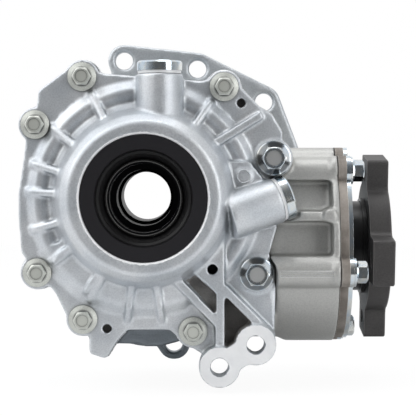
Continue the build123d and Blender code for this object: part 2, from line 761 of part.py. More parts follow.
def crown_tooth():
    """one straight-flanked tooth, drawn in the shaft line's own frame"""
    sink = 1.2
    half = math.pi * PITCH_R / PINION_TEETH / 2 - BACKLASH / 2
    tip = half - RING_ADDENDUM * math.tan(PRESSURE)
    root = half + (DEDENDUM + sink) * math.tan(PRESSURE)
    with BuildPart() as tooth:
        for x in tooth_stations():
            turn = (twist(x) + math.pi / PINION_TEETH) / ratio
            out = (math.cos(turn), math.sin(turn), 0)
            side = (-math.sin(turn), math.cos(turn), 0)
            with BuildSketch(Plane(origin=Vector(*out) * x, x_dir=side, z_dir=out)):
                with BuildLine():
                    Polyline(
                        (-PINION_DROP - root, pitch_plane + DEDENDUM + sink),
                        (-PINION_DROP - tip, pitch_plane - RING_ADDENDUM),
                        (-PINION_DROP + tip, pitch_plane - RING_ADDENDUM),
                        (-PINION_DROP + root, pitch_plane + DEDENDUM + sink),
                        close=True,
                    )
                make_face()
        loft(ruled=True)
    return tooth.part


def ring_gear():
    blank = ring(shaft_line, pitch_plane + DEDENDUM, ring_front, RING_BORE_R, RING_OUTER_R, 0.8)
    teeth = around(crown_tooth(), shaft_line, [360 / RING_TEETH * k for k in range(RING_TEETH)])
    with BuildPart() as gear:
        add(blank)
        add(teeth)
        with BuildSketch(shaft_line.offset(ring_front)):
            with PolarLocations(RING_BOLT_R, RING_BOLTS):
                Circle(M8[0] + FIT)
        extrude(amount=-RING_THREAD, mode=Mode.SUBTRACT)
    return gear.part


# Pinion: involute section that turns along the same tooth line
def involute(angle_from):
    return math.tan(angle_from) - angle_from


def pinion_section(x):
    """corners of the toothed section at x, in the pinion line's frame"""
    base = PITCH_R * math.cos(PRESSURE)
    half = math.pi / (2 * PINION_TEETH) - BACKLASH / 2 / PITCH_R
    root = PITCH_R - DEDENDUM
    tip = PITCH_R + PINION_ADDENDUM
    radii = (root, (root + PITCH_R) / 2, PITCH_R, (PITCH_R + tip) / 2, tip)
    corners = []
    for k in range(PINION_TEETH):
        # the crown gear meets the pinion on its near side, a quarter turn from local x
        centre = math.pi / 2 + 2 * math.pi * k / PINION_TEETH - twist(x)
        flank = [half + involute(PRESSURE) - involute(math.acos(min(1, base / r))) for r in radii]
        rising = [(r, centre - angle) for r, angle in zip(radii, flank)]
        falling = [(r, centre + angle) for r, angle in zip(radii[::-1], flank[::-1])]
        corners += [(r * math.cos(a), r * math.sin(a)) for r, a in rising + falling]
    return corners


def drive_pinion():
    with BuildPart() as pinion:
        for x in tooth_stations():
            with BuildSketch(pinion_line.offset(x)):
                with BuildLine():
                    Polyline(*pinion_section(x), close=True)
                make_face()
        loft(ruled=True)
        with BuildSketch(half_section(pinion_line)):
            with BuildLine():
                Polyline(
                    (TOOTH_FROM - 3, 0), (TOOTH_FROM - 3, 17), (TOOTH_FROM + 0.5, 24), (TOOTH_TO - 0.5, 24),
                    (TOOTH_TO - 0.5, HEAD_BORE_R + 8), (HEAD_BACK_X, HEAD_BORE_R + 7),
                    (HEAD_BACK_X, HEAD_BORE_R),
                    (head_bearing_from + HEAD_BEARING_W, HEAD_BORE_R),
                    (head_bearing_from + HEAD_BEARING_W, TAIL_BORE_R), (flange_hub_from, TAIL_BORE_R),
                    (flange_hub_from, SPLINE_BORE_R), (washer_from, SPLINE_BORE_R), (washer_from, THREAD_R),
                    (shaft_end_x - 1.5, THREAD_R), (shaft_end_x, THREAD_R - 1.5), (shaft_end_x, 0),
                    close=True,
                )
            make_face()
        revolve(axis=line_axis(pinion_line))
    return pinion.part


# Hollow main shaft with the carrier flange and the gearbox spline
def input_shaft():
    with BuildPart() as shaft:
        with BuildSketch(half_section(shaft_line)):
            with BuildLine():
                Polyline(
                    (SHAFT_REAR, REAR_BORE_R), (SHAFT_REAR, SPLINE_R - 1), (SHAFT_REAR + 1, SPLINE_R),
                    (-SPIGOT_L - 1, SPLINE_R), (-SPIGOT_L - 1, SEAL_TRACK_R - 0.5),
                    (-SPIGOT_L - 0.5, SEAL_TRACK_R),
                    (REAR_CUP_AT - 2, SEAL_TRACK_R), (REAR_CUP_AT - 2, SHAFT_R), (rear_cone_at, SHAFT_R),
                    (rear_cone_at, SHOULDER_R), (pitch_plane - 14, SHOULDER_R + 1),
                    (ring_front - 8, RING_BORE_R - 8),
                    (ring_front - 8, RING_BORE_R - FIT), (ring_front, RING_BORE_R - FIT),
                    (ring_front, CARRIER_R),
                    (carrier_front, CARRIER_R), (carrier_front, RING_BOLT_R - 12), (front_cup_at, SHOULDER_R),
                    (front_cup_at, SHAFT_R), (front_cup_at + SHAFT_BEARING_W, SHAFT_R),
                    (front_cup_at + SHAFT_BEARING_W, SEAL_TRACK_R), (SHAFT_FRONT - 1, SEAL_TRACK_R),
                    (SHAFT_FRONT, SEAL_TRACK_R - 1), (SHAFT_FRONT, FRONT_BORE_R), (MID_BORE_AT, FRONT_BORE_R),
                    (MID_BORE_AT, MID_BORE_R), (WAIST_FROM, MID_BORE_R), (WAIST_FROM - 1.5, WAIST_BORE_R),
                    (WAIST_TO, WAIST_BORE_R), (WAIST_TO - 2, REAR_BORE_R), close=True,
                )
            make_face()
        revolve(axis=line_axis(shaft_line))
        with BuildSketch(shaft_line.offset(SHAFT_REAR)):
            with PolarLocations(SPLINE_R, SPLINE_TEETH):
                Rectangle(2 * SPLINE_DEPTH, math.pi * SPLINE_R / SPLINE_TEETH)
        extrude(amount=-SPIGOT_L - 4 - SHAFT_REAR, mode=Mode.SUBTRACT)
        with BuildSketch(shaft_line.offset(ring_front)):
            with PolarLocations(RING_BOLT_R, RING_BOLTS):
                Circle(M8[0] + 0.4)
        extrude(amount=CARRIER_T, mode=Mode.SUBTRACT)
    return shaft.part


# Taper roller bearing in its own frame: z = 0 is the face beside the thick roller ends
class TaperBearing:
    slope = math.tan(math.radians(13))
    narrowing = 0.84
    gap = 0.08

    def __init__(self, line, bore_r, cup_r, width, roller_r, count):
        self.line = line
        self.bore_r = bore_r
        self.cup_r = cup_r
        self.width = width
        self.roller_r = roller_r
        self.count = count
        self.mid_r = (bore_r + cup_r) / 2 + 0.3
        self.thick = 0.16 * width
        self.thin = 0.84 * width

    def centre(self, z):
        return self.mid_r + (self.width / 2 - z) * self.slope

    def ends(self, side, extra=0.0):
        """corners of a roller's section, above (1) or below (-1) its own axis"""
        first = Vector(self.centre(self.thick), 0, self.thick)
        last = Vector(self.centre(self.thin), 0, self.thin)
        run = (last - first).normalized()
        out = Vector(run.Z, 0, -run.X) * side
        wide = first - run * extra + out * (self.roller_r + extra)
        narrow = last + run * extra + out * (self.roller_r * self.narrowing + extra)
        return wide, narrow

    def track(self, z, side):
        """race radius beside the rollers, outer (1) or inner (-1)"""
        wide, narrow = self.ends(side)
        rise = (narrow.X - wide.X) / (narrow.Z - wide.Z)
        return wide.X + (z - wide.Z) * rise + side * self.gap

    def inner(self, z):
        return self.track(z, -1)

    def outer(self, z):
        return self.track(z, 1)

    def cone(self):
        rib = self.ends(-1)[0].Z - 0.2
        lip = self.thin + 0.7
        return turned(self.line, [
            (0, self.bore_r + FIT), (self.width, self.bore_r + FIT), (self.width, self.inner(lip) + 0.8),
            (lip, self.inner(lip) + 0.8), (lip, self.inner(lip)), (rib, self.inner(rib)),
            (rib, self.inner(rib) + 2), (0, self.inner(rib) + 2),
        ])

    def cup(self):
        near = 0.1 * self.width
        return turned(self.line, [
            (near, self.cup_r - FIT), (self.width, self.cup_r - FIT), (self.width, self.outer(self.width)),
            (near, self.outer(near)),
        ])

    def roller(self, extra=0.0):
        wide, narrow = self.ends(1, extra)
        first = (wide + self.ends(-1, extra)[0]) / 2
        last = (narrow + self.ends(-1, extra)[1]) / 2
        with BuildPart() as roller:
            with BuildSketch(Plane.XZ):
                with BuildLine():
                    Polyline(*[(p.X, p.Z) for p in (first, wide, narrow, last)], close=True)
                make_face()
            revolve(axis=Axis(first, last - first))
        return roller.part

    def turns(self):
        return [360 / self.count * k for k in range(self.count)]

    def rollers(self):
        return around(self.roller(), self.line, self.turns())

    def cage(self):
        start = self.thick - 1.6
        end = self.thin + 1.4
        half = 0.6
        shell = turned(self.line, [
            (start, self.centre(start) - half), (end, self.centre(end) - half),
            (end, self.centre(end) + half), (start, self.centre(start) + half),
        ])
        windows = around(self.roller(0.15), self.line, self.turns())
        with BuildPart() as cage:
            add(shell)
            add(windows, mode=Mode.SUBTRACT)
        return cage.part


def facing(line, at, forward):
    """frame of a bearing on a line: origin at the thick roller ends"""
    turn = line.z_dir if forward else line.z_dir * -1
    return Plane(origin=line.origin + line.z_dir * at, x_dir=line.x_dir, z_dir=turn)


# Seals
def cover_seal():
    back = COVER_FACE - SEAL_SINK - COVER_SEAL_W
    face = COVER_FACE - SEAL_SINK
    lip = SEAL_TRACK_R + SEAL_FIT
    return turned(shaft_line, [
        (back, COVER_SEAL_R - FIT), (face, COVER_SEAL_R - FIT), (face, COVER_SEAL_R - 10),
        (face - 1.6, COVER_SEAL_R - 11), (face - 4.5, COVER_SEAL_R - 11.6), (face - 6, COVER_SEAL_R - 13.4),
        (back - 1.6, lip), (back - 2.8, lip + 0.6),
        (back - 1, lip + 3.4), (face - 7.5, lip + 7), (face - 7.5, COVER_SEAL_R - 4),
        (back, COVER_SEAL_R - 4),
    ])


def seal_spring():
    back = COVER_FACE - SEAL_SINK - COVER_SEAL_W
    with BuildPart() as spring:
        with BuildSketch(half_section(shaft_line)):
            with Locations((back - 0.86, SEAL_TRACK_R + 4.88)):
                Circle(1.0)
        revolve(axis=line_axis(shaft_line))
    return spring.part


def lip_seal(line, start, width, outer_r, track_r):
    """plain shaft seal: pressed ring with a lip on the shaft"""
    lip = track_r + SEAL_FIT
    end = start + width
    return turned(line, [
        (start, outer_r - FIT), (end, outer_r - FIT), (end, lip + 3), (end - 1.5, lip + 2),
        (start + width * 0.55, lip), (start + width * 0.35, lip), (start + width * 0.3, lip + 2.4),
        (start + width * 0.6, lip + 4), (start + width * 0.6, outer_r - 3), (start, outer_r - 3),
    ])


# Retainer joint at the end of the barrel
def drilled_plate(start, thickness, hole_r, centre_r):
    with BuildPart() as plate:
        with BuildSketch(pinion_line.offset(start)):
            add(retainer_outline())
            Circle(centre_r, mode=Mode.SUBTRACT)
            for angle in RETAINER_BOLT_ANGLES:
                with Locations(polar(RETAINER_BOLT_R, angle)):
                    Circle(hole_r, mode=Mode.SUBTRACT)
        extrude(amount=thickness)
    return plate.part


def pinion_retainer():
    sleeve_from = tail_bearing_from - 4
    plate = drilled_plate(retainer_from, RETAINER_T, M10[0] + BOLT_PLAY, OUTPUT_SEAL_R)
    with BuildPart() as retainer:
        add(plate)
        with BuildSketch(half_section(pinion_line)):
            with BuildLine():
                Polyline(
                    (sleeve_from, TAIL_CUP_R - 5), (sleeve_from, BARREL_BORE_R - FIT),
                    (retainer_from + 1, BARREL_BORE_R - FIT), (retainer_from + 1, OUTPUT_SEAL_R),
                    (output_seal_from, OUTPUT_SEAL_R), (output_seal_from, OUTPUT_SEAL_R - 3),
                    (output_seal_from - 2.5, OUTPUT_SEAL_R - 3), (output_seal_from - 2.5, TAIL_CUP_R),
                    (tail_bearing_from, TAIL_CUP_R), (tail_bearing_from, TAIL_CUP_R - 5), close=True,
                )
            make_face()
        revolve(axis=line_axis(pinion_line))
    return retainer.part


# Output side: four-lobed flange with its hub, deflector, washer and nut
def output_flange():
    end = FLANGE_FROM_X + FLANGE_T
    with BuildPart() as flange:
        with BuildSketch(pinion_line.offset(FLANGE_FROM_X)):
            Circle(FLANGE_WAIST_R)
            for quarter in range(4):
                with BuildLine():
                    Polyline(*[
                        (r * math.cos(t) - w * math.sin(t), r * math.sin(t) + w * math.cos(t))
                        for t in [math.radians(LOBE_TURN + 90 * quarter)]
                        for r, w in ((0, -LOBE_W / 2), (LOBE_R, -LOBE_W / 2), (LOBE_R, LOBE_W / 2),
                        (0, LOBE_W / 2))
                    ], close=True)
                make_face()
        extrude(amount=FLANGE_T)
        valleys = flange.edges().filter_by(Axis.X).filter_by(lambda e: radius_of(e) < FLANGE_WAIST_R + 2)
        fillet(valleys, 6)
        tips = flange.edges().filter_by(Axis.X).filter_by(lambda e: radius_of(e) > LOBE_R)
        fillet(tips, 3)
        chamfer(flange.faces().sort_by(Axis.X)[-1].outer_wire().edges(), 0.8)
        with BuildSketch(half_section(pinion_line)):
            with BuildLine():
                Polyline(
                    (flange_hub_from, 0), (flange_hub_from, HUB_R - 1), (flange_hub_from + 1, HUB_R),
                    (FLANGE_FROM_X - 14, HUB_R), (FLANGE_FROM_X - 4, HUB_R), (FLANGE_FROM_X + 1, HUB_R + 8),
                    (FLANGE_FROM_X + 1, 0), close=True,
                )
            make_face()
        revolve(axis=line_axis(pinion_line))
        with BuildSketch(half_section(pinion_line)):
            with BuildLine():
                Polyline(
                    (flange_hub_from - 1, 0), (flange_hub_from - 1, SPLINE_BORE_R + FIT),
                    (washer_from, SPLINE_BORE_R + FIT), (washer_from, NUT_POCKET_R),
                    (end - 3, NUT_POCKET_R), (end - 3, NUT_POCKET_R + 5), (end + 1, NUT_POCKET_R + 5),
                    (end + 1, 0), close=True,
                )
            make_face()
        revolve(axis=line_axis(pinion_line), mode=Mode.SUBTRACT)
        with BuildSketch(pinion_line.offset(FLANGE_FROM_X)):
            with PolarLocations(LOBE_HOLE_PCD / 2, 4, start_angle=LOBE_TURN):
                Circle(LOBE_HOLE_R)
        extrude(amount=FLANGE_T, mode=Mode.SUBTRACT)
    return flange.part


def radius_of(edge):
    """distance of an edge's middle from the pinion line"""
    middle = edge.center()
    return math.hypot(middle.Y + PINION_AHEAD, middle.Z + PINION_DROP)


def dust_deflector():
    end = FLANGE_FROM_X - 0.3
    start = bolt_seat_x + 1.2
    return turned(pinion_line, [
        (start, DEFLECTOR_R - 3), (start, DEFLECTOR_R), (end - 3, DEFLECTOR_R), (end - 3, DEFLECTOR_R + 2),
        (end, DEFLECTOR_R + 2), (end, HUB_R + 9), (end - 6, HUB_R + FIT), (end - 9, HUB_R + FIT),
        (end - 9, DEFLECTOR_R - 3),
    ])


def pinion_nut():
    with BuildPart() as nut:
        with BuildSketch(pinion_line.offset(washer_from + NUT_WASHER_T)):
            RegularPolygon(radius=NUT_FLATS / 2, side_count=6, major_radius=False)
            Circle(THREAD_R + FIT, mode=Mode.SUBTRACT)
        extrude(amount=NUT_H)
        chamfer(nut.faces().sort_by(Axis.X)[-1].outer_wire().edges(), 0.8)
    return nut.part


def o_ring():
    with BuildPart() as seal:
        with BuildSketch(half_section(shaft_line)):
            with Locations((-4.8, SPIGOT_R - 1.2)):
                Circle(1.18)
        revolve(axis=line_axis(shaft_line))
    return seal.part


# line, bore radius, cup radius, width, roller radius, rollers
front_line = facing(shaft_line, front_cup_at, True)
front_bearing = TaperBearing(front_line, SHAFT_R, SHAFT_CUP_R, SHAFT_BEARING_W, 3.1, 18)
rear_line = facing(shaft_line, rear_cone_at, False)
rear_bearing = TaperBearing(rear_line, SHAFT_R, SHAFT_CUP_R, SHAFT_BEARING_W, 3.1, 18)
head_line = facing(pinion_line, head_bearing_from, True)
head_bearing = TaperBearing(head_line, HEAD_BORE_R, HEAD_CUP_R, HEAD_BEARING_W, 3.7, 14)
tail_line = facing(pinion_line, flange_hub_from, False)
tail_bearing = TaperBearing(tail_line, TAIL_BORE_R, TAIL_CUP_R, TAIL_BEARING_W, 4.4, 12)


def write_all():
    keep(main_case(), "main_case")
    keep(front_cover(), "front_cover")
    keep(cover_sealant(), "cover_sealant")
    small_bolt = flange_bolt(M10, COVER_BOLT_L)
    keep(spread(small_bolt, shaft_line, SMALL_BOLTS, COVER_FLANGE_FACE), "cover_bolts_small")
    big_bolt = flange_bolt(M12, BIG_BOLT_L)
    keep(spread(big_bolt, shaft_line, BIG_BOLTS, COVER_FLANGE_FACE + BIG_BOSS_H), "cover_bolts_large")
    keep(spread(dowel_pin(), shaft_line, DOWELS, JOINT_FACE), "dowel_pins")
    keep(spread(plug(), filler_line, [(0, 0)], WASHER_T), "filler_plug")
    keep(ring(filler_line, 0, WASHER_T, PLUG_SHANK_R + FIT, PLUG_R - 0.7), "filler_washer")
    keep(spread(plug(), level_line, [(0, 0)], WASHER_T), "level_plug")
    keep(ring(level_line, 0, WASHER_T, PLUG_SHANK_R + FIT, PLUG_R - 0.7), "level_washer")
    keep(cover_seal(), "cover_oil_seal")
    keep(seal_spring(), "cover_seal_spring")
    keep(lip_seal(shaft_line, -SPIGOT_L + 1, REAR_SEAL_W, REAR_SEAL_R, SEAL_TRACK_R), "rear_oil_seal")
    keep(o_ring(), "spigot_o_ring")
    keep(input_shaft(), "input_shaft")
    keep(ring_gear(), "ring_gear")
    ring_bolt = flange_bolt(M8, CARRIER_T + RING_THREAD - 1)
    ring_bolts = [polar(RING_BOLT_R, 360 / RING_BOLTS * k) for k in range(RING_BOLTS)]
    keep(spread(ring_bolt, shaft_line, ring_bolts, carrier_front), "ring_gear_bolts")
    shim_from = front_cup_at + SHAFT_BEARING_W
    keep(ring(shaft_line, shim_from, FRONT_SEAT_STOP, SHAFT_CUP_R - 5, SHAFT_CUP_R - FIT), "input_shim")
    bearings = (
        ("input_front", front_bearing), ("input_rear", rear_bearing),
        ("pinion_head", head_bearing), ("pinion_tail", tail_bearing),
    )
    for name, bearing in bearings:
        keep(bearing.cup(), f"{name}_cup")
        keep(bearing.cone(), f"{name}_cone")
        keep(bearing.rollers(), f"{name}_rollers")
        keep(bearing.cage(), f"{name}_cage")
    keep(drive_pinion(), "drive_pinion")
    depth_shim = ring(pinion_line, HEAD_BACK_X, head_bearing_from, HEAD_BORE_R + FIT, HEAD_BORE_R + 6.5)
    keep(depth_shim, "pinion_depth_shim")
    spacer = ring(pinion_line, head_cup_stop, SPACER_TO_X, TAIL_BORE_R + FIT, TAIL_BORE_R + 5, 0.6)
    keep(spacer, "pinion_spacer")
    gasket = drilled_plate(BARREL_END_X, GASKET_T, M10[0] + BOLT_PLAY, BARREL_BORE_R + 3.5)
    keep(gasket, "retainer_gasket")
    keep(pinion_retainer(), "pinion_retainer")
    keep(drilled_plate(seal_plate_from, SEAL_PLATE_T, M10[0] + BOLT_PLAY, HUB_R + 3), "seal_plate")
    bolt_spots = [polar(RETAINER_BOLT_R, angle) for angle in RETAINER_BOLT_ANGLES]
    retainer_bolt = flange_bolt(M10_WIDE, RETAINER_BOLT_L)
    keep(spread(retainer_bolt, pinion_line, bolt_spots, bolt_seat_x), "retainer_bolts")
    keep(lip_seal(pinion_line, output_seal_from, OUTPUT_SEAL_W, OUTPUT_SEAL_R, HUB_R), "pinion_oil_seal")
    keep(output_flange(), "output_flange")
    keep(dust_deflector(), "dust_deflector")
    nut_from = washer_from + NUT_WASHER_T
    keep(ring(pinion_line, washer_from, nut_from, THREAD_R + FIT, NUT_POCKET_R - 2, 0.4), "flange_washer")
    keep(pinion_nut(), "pinion_nut")


write_all()
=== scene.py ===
# %% [markdown]
# A bevel-drive transfer case, dressed for a studio picture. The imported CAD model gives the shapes:
# a ribbed cast cover with a big oil seal, a cast case with its pinion barrel, and a dark lobed
# flange on the right. This lesson gives each piece the surface of the real one, softens the two
# castings, and lights them on a white ground. All sizes are metres, in the frame of the CAD: X
# runs right along the pinion, Y runs back from the cover to the gearbox, and Z is up. The shaft
# line is where X and Z are 0, and the gearbox face is where Y is 0.

# %% Load the model
import math
import bpy
import bmesh
import numpy as np
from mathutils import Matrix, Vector
from mathutils.bvhtree import BVHTree


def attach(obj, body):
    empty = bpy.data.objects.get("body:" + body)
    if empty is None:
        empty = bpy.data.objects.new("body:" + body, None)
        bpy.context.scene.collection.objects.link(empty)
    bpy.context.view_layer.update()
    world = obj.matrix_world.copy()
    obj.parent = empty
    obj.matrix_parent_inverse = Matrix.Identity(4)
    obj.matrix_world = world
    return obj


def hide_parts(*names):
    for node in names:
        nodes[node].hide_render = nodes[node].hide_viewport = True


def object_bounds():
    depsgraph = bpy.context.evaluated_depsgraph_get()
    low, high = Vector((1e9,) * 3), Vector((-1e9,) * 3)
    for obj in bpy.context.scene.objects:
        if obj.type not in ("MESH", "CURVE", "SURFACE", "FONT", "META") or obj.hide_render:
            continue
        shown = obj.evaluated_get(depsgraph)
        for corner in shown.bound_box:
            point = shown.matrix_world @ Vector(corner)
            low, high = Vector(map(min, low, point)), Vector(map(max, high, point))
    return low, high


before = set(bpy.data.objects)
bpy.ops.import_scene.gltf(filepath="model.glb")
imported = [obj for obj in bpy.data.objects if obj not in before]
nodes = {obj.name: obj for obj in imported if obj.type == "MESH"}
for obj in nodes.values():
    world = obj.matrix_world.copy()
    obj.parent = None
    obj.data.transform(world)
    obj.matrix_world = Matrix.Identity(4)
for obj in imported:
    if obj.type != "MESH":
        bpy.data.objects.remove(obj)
cad_low, cad_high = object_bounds()
MM = 0.001
print(len(nodes), "nodes from", [round(v, 4) for v in cad_low], "to", [round(v, 4) for v in cad_high])

# %% [markdown]
# Colours are written as the hex values that an eye would pick from a screen. Shaders work in
# linear light, so one function turns each pair of digits into a linear number, as the sRGB
# standard says: a straight line near black, and a power above it.

# %% Colours
def linear(code):
    parts = [int(code[start:start + 2], 16) / 255 for start in (1, 3, 5)]
    light = [part / 12.92 if part <= 0.04045 else ((part + 0.055) / 1.055) ** 2.4 for part in parts]
    return (*light, 1.0)


WHITE = linear("#ffffff")
print("mid grey in linear light:", [round(part, 3) for part in linear("#808080")[:3]])

# %% [markdown]
# A shader is a small graph. Adding a node always takes the same three things: its type, the
# settings it holds and what is plugged in. One function does that for every kind of node. A
# plugged value is either a plain number or another node's output. A socket goes by its name, or
# by its number where several sockets share one name, as on the Mix and Math nodes.

# %% Shader graphs
def add_node(tree, kind, settings=None, **plugs):
    node = tree.nodes.new(kind)
    for name, value in (settings or {}).items():
        if name == "stops":
            for stop, (position, colour) in zip(node.color_ramp.elements, value):
                stop.position, stop.color = position, colour
        else:
            setattr(node, name, value)
    for name, value in plugs.items():
        numbered = name[0] == "i" and name[1:].isdigit()
        socket = node.inputs[int(name[1:]) if numbered else name.replace("_", " ")]
        if isinstance(value, bpy.types.NodeSocket):
            tree.links.new(value, socket)
        else:
            socket.default_value = value
    return node


BLEND = {"data_type": "RGBA", "blend_type": "MIX"}
DARKEN = {"data_type": "RGBA", "blend_type": "MULTIPLY"}
SMOOTH = {"interpolation_type": "SMOOTHSTEP"}
print("blends:", BLEND["blend_type"], DARKEN["blend_type"])

# %% [markdown]
# Every material starts and ends the same way. It starts as a Principled shader with a few plain
# values and a Texture Coordinate that gives the place on the piece in metres. It ends with three
# links: colour, roughness and the normal that the bump has bent. A noise pattern that repeats
# about every L metres has a scale of 1/L, so the real size of each grain sets its scale.

# %% Start and end of a material
def new_surface(name, **values):
    surface = bpy.data.materials.new(name)
    surface.use_nodes = True
    tree = surface.node_tree
    for socket, value in values.items():
        tree.nodes["Principled BSDF"].inputs[socket.replace("_", " ")].default_value = value
    return surface, tree, add_node(tree, "ShaderNodeTexCoord").outputs["Object"]


def coat(tree, colour, roughness, normal):
    shader = tree.nodes["Principled BSDF"]
    tree.links.new(colour, shader.inputs["Base Color"])
    tree.links.new(roughness, shader.inputs["Roughness"])
    tree.links.new(normal, shader.inputs["Normal"])


def per_mm(size):
    return 1 / (size * MM)


print("a 1 mm grain has a noise scale of", per_mm(1))

# %% [markdown]
# Two things are drawn on every handled metal part: corners get a painted shade, and edges are rubbed
# bright. Ambient occlusion finds the corners, because little sky reaches them, and their colour is
# darkened there as painted shade. For the edges, the Bevel node gives the normal of a rounded copy
# of the surface: it leans away from the true normal only near an edge, so the lean is a mask for wear.

# %% Painted corner shade and rubbed edges
LEAN_START = 0.995
LEAN_FULL = 0.9


def painted_corner_shade(tree, tone, reach_mm, shade, start=0.2, end=0.9):
    # painted shade: the colour darkens where ambient occlusion finds a corner
    sky = add_node(tree, "ShaderNodeAmbientOcclusion", {"samples": 8}, Distance=reach_mm * MM)
    stops = ((start, linear(shade)), (end, WHITE))
    corner = add_node(tree, "ShaderNodeValToRGB", {"stops": stops}, Fac=sky.outputs["AO"])
    corner = corner.outputs["Color"]
    return add_node(tree, "ShaderNodeMix", DARKEN, i0=1.0, i6=tone, i7=corner).outputs[2]


def rubbed(tree, tone, radius_mm, bright, most=0.8):
    bevel = add_node(tree, "ShaderNodeBevel", {"samples": 6}, Radius=radius_mm * MM).outputs["Normal"]
    facing = add_node(tree, "ShaderNodeNewGeometry").outputs["Normal"]
    lean = add_node(tree, "ShaderNodeVectorMath", {"operation": "DOT_PRODUCT"}, i0=bevel, i1=facing)
    share = add_node(tree, "ShaderNodeMapRange", Value=lean.outputs["Value"],
                     From_Min=LEAN_START, From_Max=LEAN_FULL, To_Max=most).outputs["Result"]
    return add_node(tree, "ShaderNodeMix", BLEND, i0=share, i6=tone, i7=linear(bright)).outputs[2]


print("wear starts where the normals lean", round(math.degrees(math.acos(LEAN_START)), 1), "degrees")

# %% [markdown]
# The case is one casting, but it doesn't look one tone: the drum behind the cover is bright, and
# the pinion barrel on the right is a warmer, duller grey. The colour fades from one to the other
# by the place on the casting, so that no hard line shows where the barrel begins.

# %% Where the barrel begins
BARREL_FADE_X = (0.045, 0.085)
BARREL_FADE_Y = (-0.012, -0.03)


def barrel_share(tree, place):
    spot = add_node(tree, "ShaderNodeSeparateXYZ", Vector=place)
    right = add_node(tree, "ShaderNodeMapRange", SMOOTH, Value=spot.outputs["X"],
                     From_Min=BARREL_FADE_X[0], From_Max=BARREL_FADE_X[1]).outputs["Result"]
    ahead = add_node(tree, "ShaderNodeMapRange", SMOOTH, Value=spot.outputs["Y"],
                     From_Min=BARREL_FADE_Y[0], From_Max=BARREL_FADE_Y[1]).outputs["Result"]
    return add_node(tree, "ShaderNodeMath", {"operation": "MULTIPLY"}, i0=right, i1=ahead).outputs[0]


print("the barrel's tone is full from X =", BARREL_FADE_X[1])

# %% [markdown]
# The cover and the case are die-cast aluminium, shot-blasted after casting. Blasting leaves
# millions of tiny dents, so the metal is bright but never mirrors anything. Real dents are about
# 0.3 mm; at this picture's scale they would vanish, so the grain is drawn at 1.1 mm. Broad
# patches, where the melt cooled at different speeds, shift the tone a little.

# %% Cast aluminium
PATCH_MM = 26
BLAST_MM = 1.1
LOW_SHADE_Z = (-0.07, -0.092)
BARREL_METAL = 0.7


def cast_aluminium(name, light, dark, rough, metal=1.0, rub="#f2f4f6", barrel_tone=None):
    surface, tree, place = new_surface(name, Metallic=metal)
    patches = add_node(tree, "ShaderNodeTexNoise", Vector=place, Scale=per_mm(PATCH_MM),
                       Detail=3).outputs["Fac"]
    stops = ((0.35, linear(dark)), (0.65, linear(light)))
    tone = add_node(tree, "ShaderNodeValToRGB", {"stops": stops}, Fac=patches).outputs["Color"]
    if barrel_tone:
        # painted shade: the case turns darker blue-grey towards the bottom, where it lies in shade
        # behind the cover
        height = add_node(tree, "ShaderNodeSeparateXYZ", Vector=place).outputs["Z"]
        low = add_node(tree, "ShaderNodeMapRange", Value=height,
                       From_Min=LOW_SHADE_Z[0], From_Max=LOW_SHADE_Z[1]).outputs["Result"]
        tone = add_node(tree, "ShaderNodeMix", BLEND, i0=low, i6=tone, i7=linear("#8f969c")).outputs[2]
        share = barrel_share(tree, place)
        warm = linear(barrel_tone)
        tone = add_node(tree, "ShaderNodeMix", BLEND, i0=share, i6=tone, i7=warm).outputs[2]
        dulled = add_node(tree, "ShaderNodeMapRange", Value=share, To_Min=metal, To_Max=BARREL_METAL)
        tree.links.new(dulled.outputs["Result"], tree.nodes["Principled BSDF"].inputs["Metallic"])
    blast = add_node(tree, "ShaderNodeTexNoise", Vector=place, Scale=per_mm(BLAST_MM), Detail=3,
                     Roughness=0.6).outputs["Fac"]
    stops = ((0.35, (0.86, 0.86, 0.87, 1)), (0.6, WHITE))
    speck = add_node(tree, "ShaderNodeValToRGB", {"stops": stops}, Fac=blast).outputs["Color"]
    tone = add_node(tree, "ShaderNodeMix", DARKEN, i0=1.0, i6=tone, i7=speck).outputs[2]
    gloss = add_node(tree, "ShaderNodeMapRange", Value=blast, To_Min=rough - 0.06, To_Max=rough + 0.08)
    dents = add_node(tree, "ShaderNodeBump", Height=blast, Distance=0.12 * MM, Strength=1.0)
    # painted shade in the corners, and edges rubbed bright
    tone = rubbed(tree, painted_corner_shade(tree, tone, 7, "#a4a3a0"), 0.8, rub)
    coat(tree, tone, gloss.outputs["Result"], dents.outputs["Normal"])
    return surface


cover_cast = cast_aluminium("cover_cast_aluminium", "#e6e9ec", "#d4d9de", 0.5)
case_cast = cast_aluminium("case_cast_aluminium", "#d9dde0", "#c3c8cc", 0.48, barrel_tone="#c6c6c3")
# The retainer is the same metal with its brownish casting skin left on.
retainer_cast = cast_aluminium("retainer_cast_rough", "#b3aca5", "#857e77", 0.62, 0.7, "#c4bfb9")
# The barrel's end beside the cover is not reached by the blasting. The truss pockets get a painted
# shade instead: a darker, less metallic copy of the casting, for the shade deep in the pockets.
end_cast = cast_aluminium("barrel_end_cast", "#c4c5c4", "#aeafae", 0.6, 0.15, "#d8d9d8")
pocket_shade_cast = cast_aluminium("pocket_painted_shade", "#c2c0bd", "#858381", 0.6, 0.2, "#c9c7c4")
print("castings:", cover_cast.name, case_cast.name, retainer_cast.name, end_cast.name, pocket_shade_cast.name)

# %% [markdown]
# Where another part bolts on, the casting is milled flat. Milling leaves fine arcs, which stretch
# the highlight across them. Real ones are a fraction of a millimetre apart and would vanish here,
# so the rings of a wave texture are drawn 2.83 mm apart. A wave texture of scale 1 repeats every
# tenth of pi, which turns a spacing into its scale.

# %% Milled aluminium
WAVE_LENGTH = math.pi / 10
ARC_MM = 2.83


